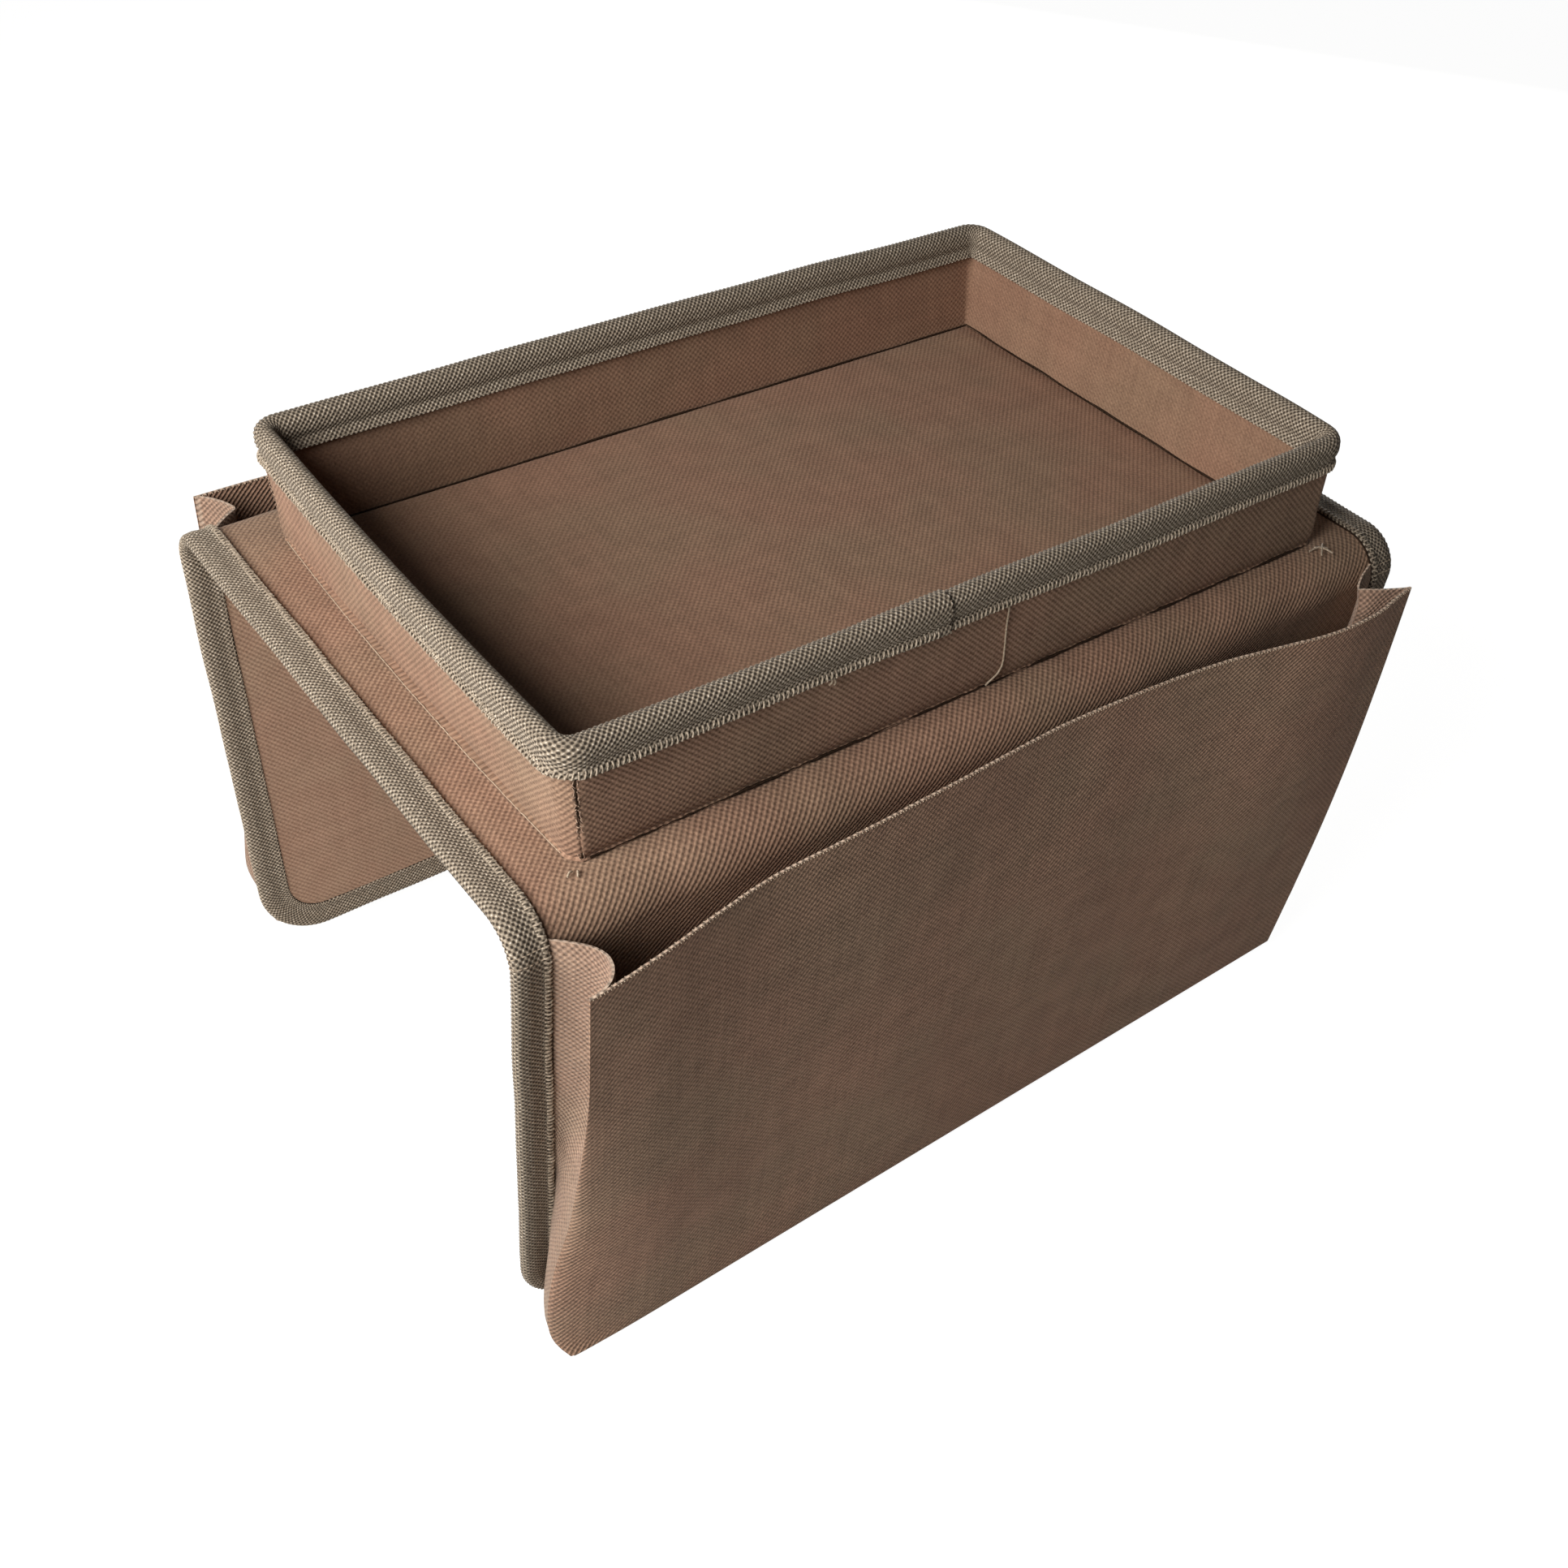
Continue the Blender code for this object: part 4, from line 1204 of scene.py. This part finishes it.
def make_tray_floor():
    """The cloth over the floor board, tucked down at its edges, and a dark strand of painted shade in the
    crevice round it.
    """
    clear = 2 * half_wall + floor_clearance
    length = tray_length - 2 * clear
    width = tray_width - 2 * clear
    level = 2 * seam_gap + floor_board_thickness + cloth_thickness / 2

    def rows(size):
        inner = size / 2 - floor_tuck
        edge = [inner + floor_tuck * share for share in (0.4, 0.75, 1.0)]
        return [-x for x in reversed(edge)] + steps(-inner, inner, 0.006) + edge

    def place(x, y):
        nearest = min(length / 2 - abs(x), width / 2 - abs(y))
        drop = floor_edge_drop * (1 - smooth(nearest / floor_tuck))
        crown = floor_crown * smooth(nearest / 0.03) * (0.7 + 0.5 * swell(x, y, 0.06, 9))
        return tray_middle + Vector((x, y, level + crown - drop))
    cloth = Cloth("tray_floor_sheet", inside_cloth, "cloth", cloth_thickness)
    cloth.lay(rows(length), rows(width), place, lambda x, y: (x, y))
    piece = cloth.cut(even=False)
    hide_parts("tray_floor_cloth")
    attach(piece, "saddle_top")
    declare(cloth, piece)

    half_length, half_width = (length + floor_clearance) / 2, (width + floor_clearance) / 2
    corners = [(x * half_length, y * half_width) for x, y in round_a_square]
    path = []
    for (x0, y0), (x1, y1) in zip(corners, corners[1:] + corners[:1]):
        for share in steps(0, 1, 0.004 / math.hypot(x1 - x0, y1 - y0))[:-1]:
            x, y = between(x0, x1, share), between(y0, y1, share)
            path.append(tray_middle + Vector((x, y, level + 0.0002 * swell(x, y, 0.012, 16))))
    # A dark strand round the floor's edge: painted shade in the crevice between the floor and the walls.
    crevice = strand("floor_crevice_shade", [path + path[:1]], shade_line_radius, shade_thread, uneven=0.4)
    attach(crevice, "saddle_top")


# Pockets

def mouth_point(side, x):
    """The middle of the panel's upper edge, whose bow follows the reach shares."""
    shares = side.mouth_shares
    place = min(max((x / pocket_width + 1 / 2) * (len(shares) - 1), 0), len(shares) - 1)
    index = min(int(place), len(shares) - 2)
    before, after = shares[max(index - 1, 0)], shares[min(index + 2, len(shares) - 1)]
    start, end, t = shares[index], shares[index + 1], place - index
    share = start + t * ((end - before) / 2 + t * (3 * (end - start) - (end - before) - (after - start) / 2
                         + t * ((end - before) / 2 + (after - start) / 2 - 2 * (end - start))))
    y = over_folds / 2 + mouth_gap + mouth_flare * min(max(share, 0), 1.02)
    x *= side.mouth_width / pocket_width
    return Vector((x, side.sign * y, top_face - mouth_below_top))


def corner_sag(side, x, out, rise):
    """How a lower corner of the pocket hangs away from the straight crease."""
    half = pocket_width / 2
    form = 1.0 if side.drop_reach > half else 1.6
    sag = 0.0
    for drop, end in zip(side.corner_drops, (half + x, half - x)):
        sag += drop * min(max(1 - end / side.drop_reach, 0), 1)**form
    low = 1 - smooth(rise / 0.24)
    return Vector((0, 0, -sag * low * smooth(out / 0.8)))


def bagging(side, hand, rise):
    """How far the cloth is drawn round into a bag at this rise."""
    share = side.bag_shares[0 if hand < 0 else 1]
    return share * (1 - 0.9 * math.exp(-rise / 0.025)) * (1 - onset(rise, 0.22, 0.60))


def swelling(side, hand, out, rise):
    """How far a gusset swells out sideways between the flap and the panel."""
    fade = 1 - onset(rise, swell_end_share, swell_fade_share)
    size = gusset_swell * between(low_swell_share, 1, smooth(rise / swell_growth_share)) * fade
    size *= 1 - side.bag_shares[0 if hand < 0 else 1]
    round_low = 1 - (2 * out - 1)**4
    return size * between(round_low, math.sin(math.pi * out)**2, smooth(rise / 0.45))


def panel_point(side, x, rise):
    """A point of the panel's middle, at rise from 0 at the crease to 1 at the mouth."""
    point = between(side.crease(x), mouth_point(side, x), rise)
    point.y += side.sign * panel_belly * math.sin(math.pi * rise)
    end = pocket_width / 2 - abs(x)
    calm = smooth(end / 0.03) * smooth(rise / 0.15)
    point.y += side.sign * panel_waves * swell(x, rise * panel_height, 0.06, 10 + side.sign) * calm
    bag = bagging(side, x, rise)
    past = min(max(1 - end / bag_width, 0), 1)
    point.x += math.copysign(bag_swell * bag * past * (1 - onset(rise, 0.10, 0.30)), x)
    point.y -= side.sign * bag_depth * (1 - math.sqrt(1 - past * past)) * bag
    return point + corner_sag(side, x, 1, rise)


def bag_metres(x):
    """The cloth from the pocket's middle to this x, round the end of a full bag."""
    half = pocket_width / 2
    turn = math.asin(min(max(1 - (half - abs(x)) / bag_width, 0), 1))
    turns = [turn * share for share in steps(0, 1, 1 / 12)]
    marks = [((bag_width + bag_swell) * math.sin(turn), bag_depth * math.cos(turn)) for turn in turns]
    rounded = sum(math.dist(here, there) for here, there in zip(marks, marks[1:]))
    return math.copysign(min(abs(x), half - bag_width) + rounded, x)


def bottom_point(side, x, out):
    """A point of the bottom gusset, at out from 0 on the flap to 1 at the crease."""
    start_lift = tape_face + seam_gap + pocket_cloth_thickness / 2
    start = (side.flap_end - tape_leg, start_lift)
    dip = (side.flap_end + pocket_hang, start_lift)
    end = (side.flap_end + pocket_hang, crease_reach)
    weights = ((1 - out)**2, 2 * out * (1 - out), out**2)
    walk, lift = (sum(w * p[i] for w, p in zip(weights, (start, dip, end))) for i in (0, 1))
    point = side.point(x, walk, lift)
    target = panel_point(side, x, 0) - corner_sag(side, x, 1, 0)
    return point + (target - side.crease(x)) * smooth(out) + corner_sag(side, x, out, 0)


def gusset_point(side, hand, out, rise):
    """A point of a side gusset: pleated in at the mouth, swelling out near the bottom."""
    bottom_seam = side.flap_end - tape_leg
    mouth_turn = math.acos(1 - mouth_below_top / fold_radius)
    mouth_seam = fold_start + fold_middle_radius * mouth_turn
    seam_lift = between(tape_face, half_sandwich, smooth(rise / seam_settle_share))
    seam_lift += seam_gap + pocket_cloth_thickness / 2
    seam = side.point(hand * gusset_seam, between(bottom_seam, mouth_seam, rise), seam_lift)
    edge_x = hand * gusset_edge
    edge = panel_point(side, edge_x, rise) - corner_sag(side, edge_x, 1, rise)
    edge.y -= side.sign * 0.0002
    point = between(seam, edge, out)
    bag = bagging(side, hand, rise)
    point.x += (edge.x - seam.x) * (math.sin(math.pi / 2 * out) - out) * bag
    point.y += (edge.y - seam.y) * (1 - math.cos(math.pi / 2 * out) - out) * bag

    low = 1 - smooth(rise / bottom_blend_share)
    start = bottom_point(side, 0, 0)
    dip = bottom_point(side, 0, out) - between(start, bottom_point(side, 0, 1), out)
    point += dip * low + corner_sag(side, point.x, out, rise)

    tip, depth, fullness, roundness = pleat_tips[side.name][0 if hand < 0 else 1]
    if out < tip:
        tent = 1 - (1 - out / tip)**fullness
    else:
        past = min((out - tip) / (1 - tip), 1)
        tent = between(1 - past, math.sqrt(1 - past**2), roundness)
    pleat = gusset_pleat * depth * onset(rise, pleat_start_share, pleat_growth_share)
    ruffle = gusset_ruffle * math.sin(math.pi * out) * onset(rise, 0.15, 0.2)
    point.y += side.sign * ruffle * swell(out * pleat_cut_width, rise * panel_height, 0.013, 21 + hand)
    point.x += hand * (swelling(side, hand, out, rise) - pleat * tent)
    point.z -= pleat_tip_drop * tent**5 * onset(rise, 0.90, 0.10)
    return point


def tallness(side):
    """How tall the pocket's panel is, from the crease to the mouth."""
    return (mouth_point(side, 0) - side.crease(0)).length


def cut_paleness(rise, tall):
    """How much bared yarn shows at this rise: only just below the cut mouth."""
    return smooth(1 - (1 - rise) * tall / cut_edge_depth)


def make_panel(side):
    """The pocket's panel with its cut mouth, and the yarn ends along the mouth."""
    half = pocket_width / 2
    tall = tallness(side)
    near_mouth = [1 - below / tall for below in mouth_rows]
    rises = steps(0, 0.25, 0.0125) + steps(0.25, near_mouth[0], 0.024)[1:] + near_mouth[1:]
    ends = [half - bag_width * (1 - math.cos(math.pi / 36 * count)) for count in range(13)]
    columns = [-x for x in ends] + steps(-half + 0.0225, half - 0.0225, 0.0045) + list(reversed(ends))

    def place(x, rise):
        return panel_point(side, x, between(0.0002 / tall, 1, rise))

    def grain(x, rise):
        return between(x, bag_metres(x), bagging(side, x, rise)), rise * tall
    cloth = Cloth(side.name + "_pocket_cover", shaded_pocket_cloth, "cloth", pocket_cloth_thickness)
    cloth.lay(columns, rises, place, grain, lambda x, rise: cut_paleness(rise, tall))
    piece = cloth.cut(even=False)
    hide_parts(side.name + "_pocket_panel")
    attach(piece, side.name + "_pocket")
    declare(cloth, piece)

    row = [(place(x, 1.0), Vector((0, 0, 1))) for x in steps(-half + 0.001, half - 0.001, 0.002)]
    edge = thread_rows(side.name + "_mouth_yarn_ends", [row], "cloth", **yarn_end_sizes)
    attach(edge, side.name + "_pocket")


def make_pocket_bottom(side):
    """The bottom gusset, from the flap's lower edge to the panel's crease."""
    inset = pocket_cloth_thickness / 2

    def place(share, out):
        end = between(gusset_seam, gusset_edge, out) - inset
        point = bottom_point(side, share * end, out)
        point.x += math.copysign(swelling(side, share, out, 0), share) * onset(abs(share), 0.80, 0.20)
        return point

    def grain(share, out):
        return share * (pocket_width / 2), -out * bottom_cut_width
    cloth = Cloth(side.name + "_pocket_bottom_cloth", shaded_pocket_cloth, "cloth", pocket_cloth_thickness)
    ends = [1.0, 0.99, 0.975, 0.95, 0.92, 0.89, 0.86]
    shares = [-share for share in ends] + steps(-0.83, 0.83, 1 / 30) + ends[::-1]
    cloth.lay(shares, steps(0, 1, 1 / 12), place, grain)
    piece = cloth.cut(even=False)
    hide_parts(side.name + "_pocket_bottom")
    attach(piece, side.name + "_flap")
    declare(cloth, piece)


def make_pleat(side, word, hand):
    """A pleated side gusset, which follows the flap at one edge and the panel at the other."""
    tall = tallness(side)
    near_mouth = [1 - below / tall for below in mouth_rows]
    rises = [0.0015] + steps(0, 0.2, 0.02)[1:] + steps(0.2, near_mouth[0], 0.02)[1:] + near_mouth[1:]
    outs = [0, 0.06, 0.13, 0.2, 0.27, 0.34, 0.41, 0.47, 0.52, 0.56, 0.59, 0.62, 0.65, 0.68, 0.72, 0.78,
            0.84, 0.89, 0.93, 0.96, 0.98, 0.992, 1.0]

    def place(out, rise):
        return gusset_point(side, hand, out, rise)

    def grain(out, rise):
        return -out * pleat_cut_width, rise * tall

    def paleness(out, rise):
        # Pale just below the cut mouth as bared yarn ends, and a pale line along the panel edge: a painted
        # highlight on the fold.
        return max(cut_paleness(rise, tall), 0.7 * onset(out, 0.962, 0.02))
    name = side.name + "_pocket_" + word
    cloth = Cloth(name + "_pleat", pleat_cloth, "cloth", pocket_cloth_thickness)
    cloth.lay(outs, rises, place, grain, paleness)
    piece = cloth.cut(even=False)
    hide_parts(name + "_gusset")
    seat = side.point(0, side.fold_end + 0.1, 0)
    way = (side.point(0, side.fold_end + 0.1, 1) - seat).normalized()
    start, end = (seat + way * distance for distance in pleat_turn)
    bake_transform(piece)
    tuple(start)
    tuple(end)
    declare(cloth, piece)


def dress_boards():
    """The stiffeners keep their shape and get the look of pressed board."""
    for name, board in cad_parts.items():
        if "board" in name:
            for slot in board.material_slots:
                slot.material = stiff_board


# Room

camera_place = Vector((-0.3297, -0.4136, 0.3507))
camera_azimuth = math.radians(-38.43)
camera_elevation = math.radians(41.49)
camera_roll = math.radians(3.93)
camera_lens = 40.51
camera_sensor = 36.0
camera_shift = (0.0017, 0.0008)


def make_camera():
    lens = bpy.data.cameras.new("photo_view")
    lens.sensor_width = camera_sensor
    lens.lens = camera_lens
    lens.shift_x, lens.shift_y = camera_shift
    lens.clip_start = 0.01
    lens.clip_end = 20
    eye = add_object("photo_view", lens)
    level = math.cos(camera_elevation)
    back = Vector((math.sin(camera_azimuth) * level, -math.cos(camera_azimuth) * level,
                   math.sin(camera_elevation)))
    right = Vector((math.cos(camera_azimuth), math.sin(camera_azimuth), 0))
    up = back.cross(right)
    rolled_right = right * math.cos(camera_roll) + up * math.sin(camera_roll)
    rolled_up = up * math.cos(camera_roll) - right * math.sin(camera_roll)
    turn = Matrix((rolled_right, rolled_up, back)).transposed().to_4x4()
    eye.matrix_world = Matrix.Translation(camera_place) @ turn
    bpy.context.scene.camera = eye


def show(wires, drain, bounced, seen):
    """One shader for bounced light and another for what the camera sees itself, in a mirror or glass."""
    path = wires.node("ShaderNodeLightPath").outputs
    mirrored = wires.sum("MAXIMUM", path["Is Glossy Ray"], path["Is Transmission Ray"])
    direct = wires.sum("MAXIMUM", path["Is Camera Ray"], mirrored)
    mix = wires.node("ShaderNodeMixShader", {0: direct, 1: bounced.outputs[0], 2: seen.outputs[0]})
    wires.node(drain, {0: mix.outputs[0]})


def make_floor(height):
    """A plain pale floor that keeps the shadow, a little duller for the light that it throws back up."""
    mesh = bpy.data.meshes.new("floor")
    reach = 8
    mesh.from_pydata([(x * reach, y * reach, height) for x, y in round_a_square], [], [(0, 1, 2, 3)])
    floor = add_object("floor", mesh)
    material = bpy.data.materials.new("pale_floor")
    material.use_nodes = True
    material.node_tree.nodes.clear()
    wires = Wiring(material.node_tree)
    bounce = wires.node("ShaderNodeBsdfDiffuse", {"Color": (*floor_bounce_colour, 1)})
    shadow = wires.node("ShaderNodeBsdfDiffuse", {"Color": (*floor_colour, 1)})
    glow = wires.node("ShaderNodeEmission", {"Color": (1, 1, 1, 1), "Strength": floor_glow})
    both = wires.node("ShaderNodeAddShader", {0: shadow.outputs[0], 1: glow.outputs[0]})
    show(wires, "ShaderNodeOutputMaterial", bounce, both)
    mesh.materials.append(material)
    floor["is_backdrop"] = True


def add_lamp(name, shape, power, colour, azimuth, elevation, distance):
    """A flat lamp that faces the object; the azimuth runs from straight left towards the front."""
    lamp = bpy.data.lights.new(name, "AREA")
    lamp.shape = shape
    lamp.energy = power
    lamp.color = colour
    stand = add_object(name, lamp)
    around, up = math.radians(azimuth), math.radians(elevation)
    towards = Vector((-math.cos(around) * math.cos(up), -math.sin(around) * math.cos(up), math.sin(up)))
    stand.location = towards * distance
    stand.rotation_euler = towards.to_track_quat("Z", "Y").to_euler()
    return lamp, stand


def make_light():
    """A broad window at the left, near enough to fall off over the object, and a dim even sky.

    A weak low reflector far behind on the right keeps the sides that face away from being black. It
    stands so low that the tray's walls keep nearly all of its light out of the tray.
    """
    world = bpy.data.worlds.new("studio")
    world.use_nodes = True
    world.node_tree.nodes.clear()
    wires = Wiring(world.node_tree)
    sky = wires.node("ShaderNodeBackground", {"Color": (*sky_colour, 1), "Strength": sky_strength})
    white = wires.node("ShaderNodeBackground", {"Color": (1, 1, 1, 1), "Strength": 1.0})
    show(wires, "ShaderNodeOutputWorld", sky, white)
    bpy.context.scene.world = world

    window, _ = add_lamp("window", "DISK", window_power, window_colour, window_azimuth, window_elevation,
                         window_distance)
    window.size = window_size
    board, stand = add_lamp("reflector", "RECTANGLE", reflector_power, reflector_colour, reflector_azimuth,
                            reflector_elevation, reflector_distance)
    board.size, board.size_y = reflector_sizes
    stand.visible_camera = False


floor_gap = 0.0003              # the floor lies this far below the lowest cloth
floor_colour = (0.20, 0.20, 0.195)
floor_glow = 0.955
floor_bounce_colour = (0.80, 0.79, 0.765)
sky_colour = (1.0, 1.0, 1.0)
sky_strength = 0.018
window_power = 13.3
window_size = 0.66
window_distance = 0.92
window_colour = (1.0, 0.985, 0.96)
window_azimuth = 12             # from straight left towards the front
window_elevation = 30
reflector_power = 7.5
reflector_colour = (1.0, 0.99, 0.97)
reflector_sizes = (0.9, 0.12)
reflector_distance = 1.25
reflector_azimuth = 217         # behind on the right
reflector_elevation = 3.2

make_camera()
for half in (front, rear):
    make_cover(half)
    make_saddle_lining(half)
    make_binding(half)
    make_panel(half)
    make_pocket_bottom(half)
    make_pleat(half, "left", -1)
    make_pleat(half, "right", 1)
wall_names = ("front", "right", "rear", "left")
make_walls("tray_walls_cover", wall_skin_lift, cover_cloth, [name + "_wall_cloth" for name in wall_names])
make_walls("tray_walls_lining", -wall_skin_lift, inside_cloth, [name + "_wall_lining" for name in wall_names])
make_rim_binding()
make_tray_floor()
make_rim_stitches()
make_foot_seams()
make_corner_seams()
make_loose_threads()
dress_boards()
make_floor(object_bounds()[0].z - floor_gap)
make_light()
bpy.context.scene.view_settings.view_transform = "Standard"
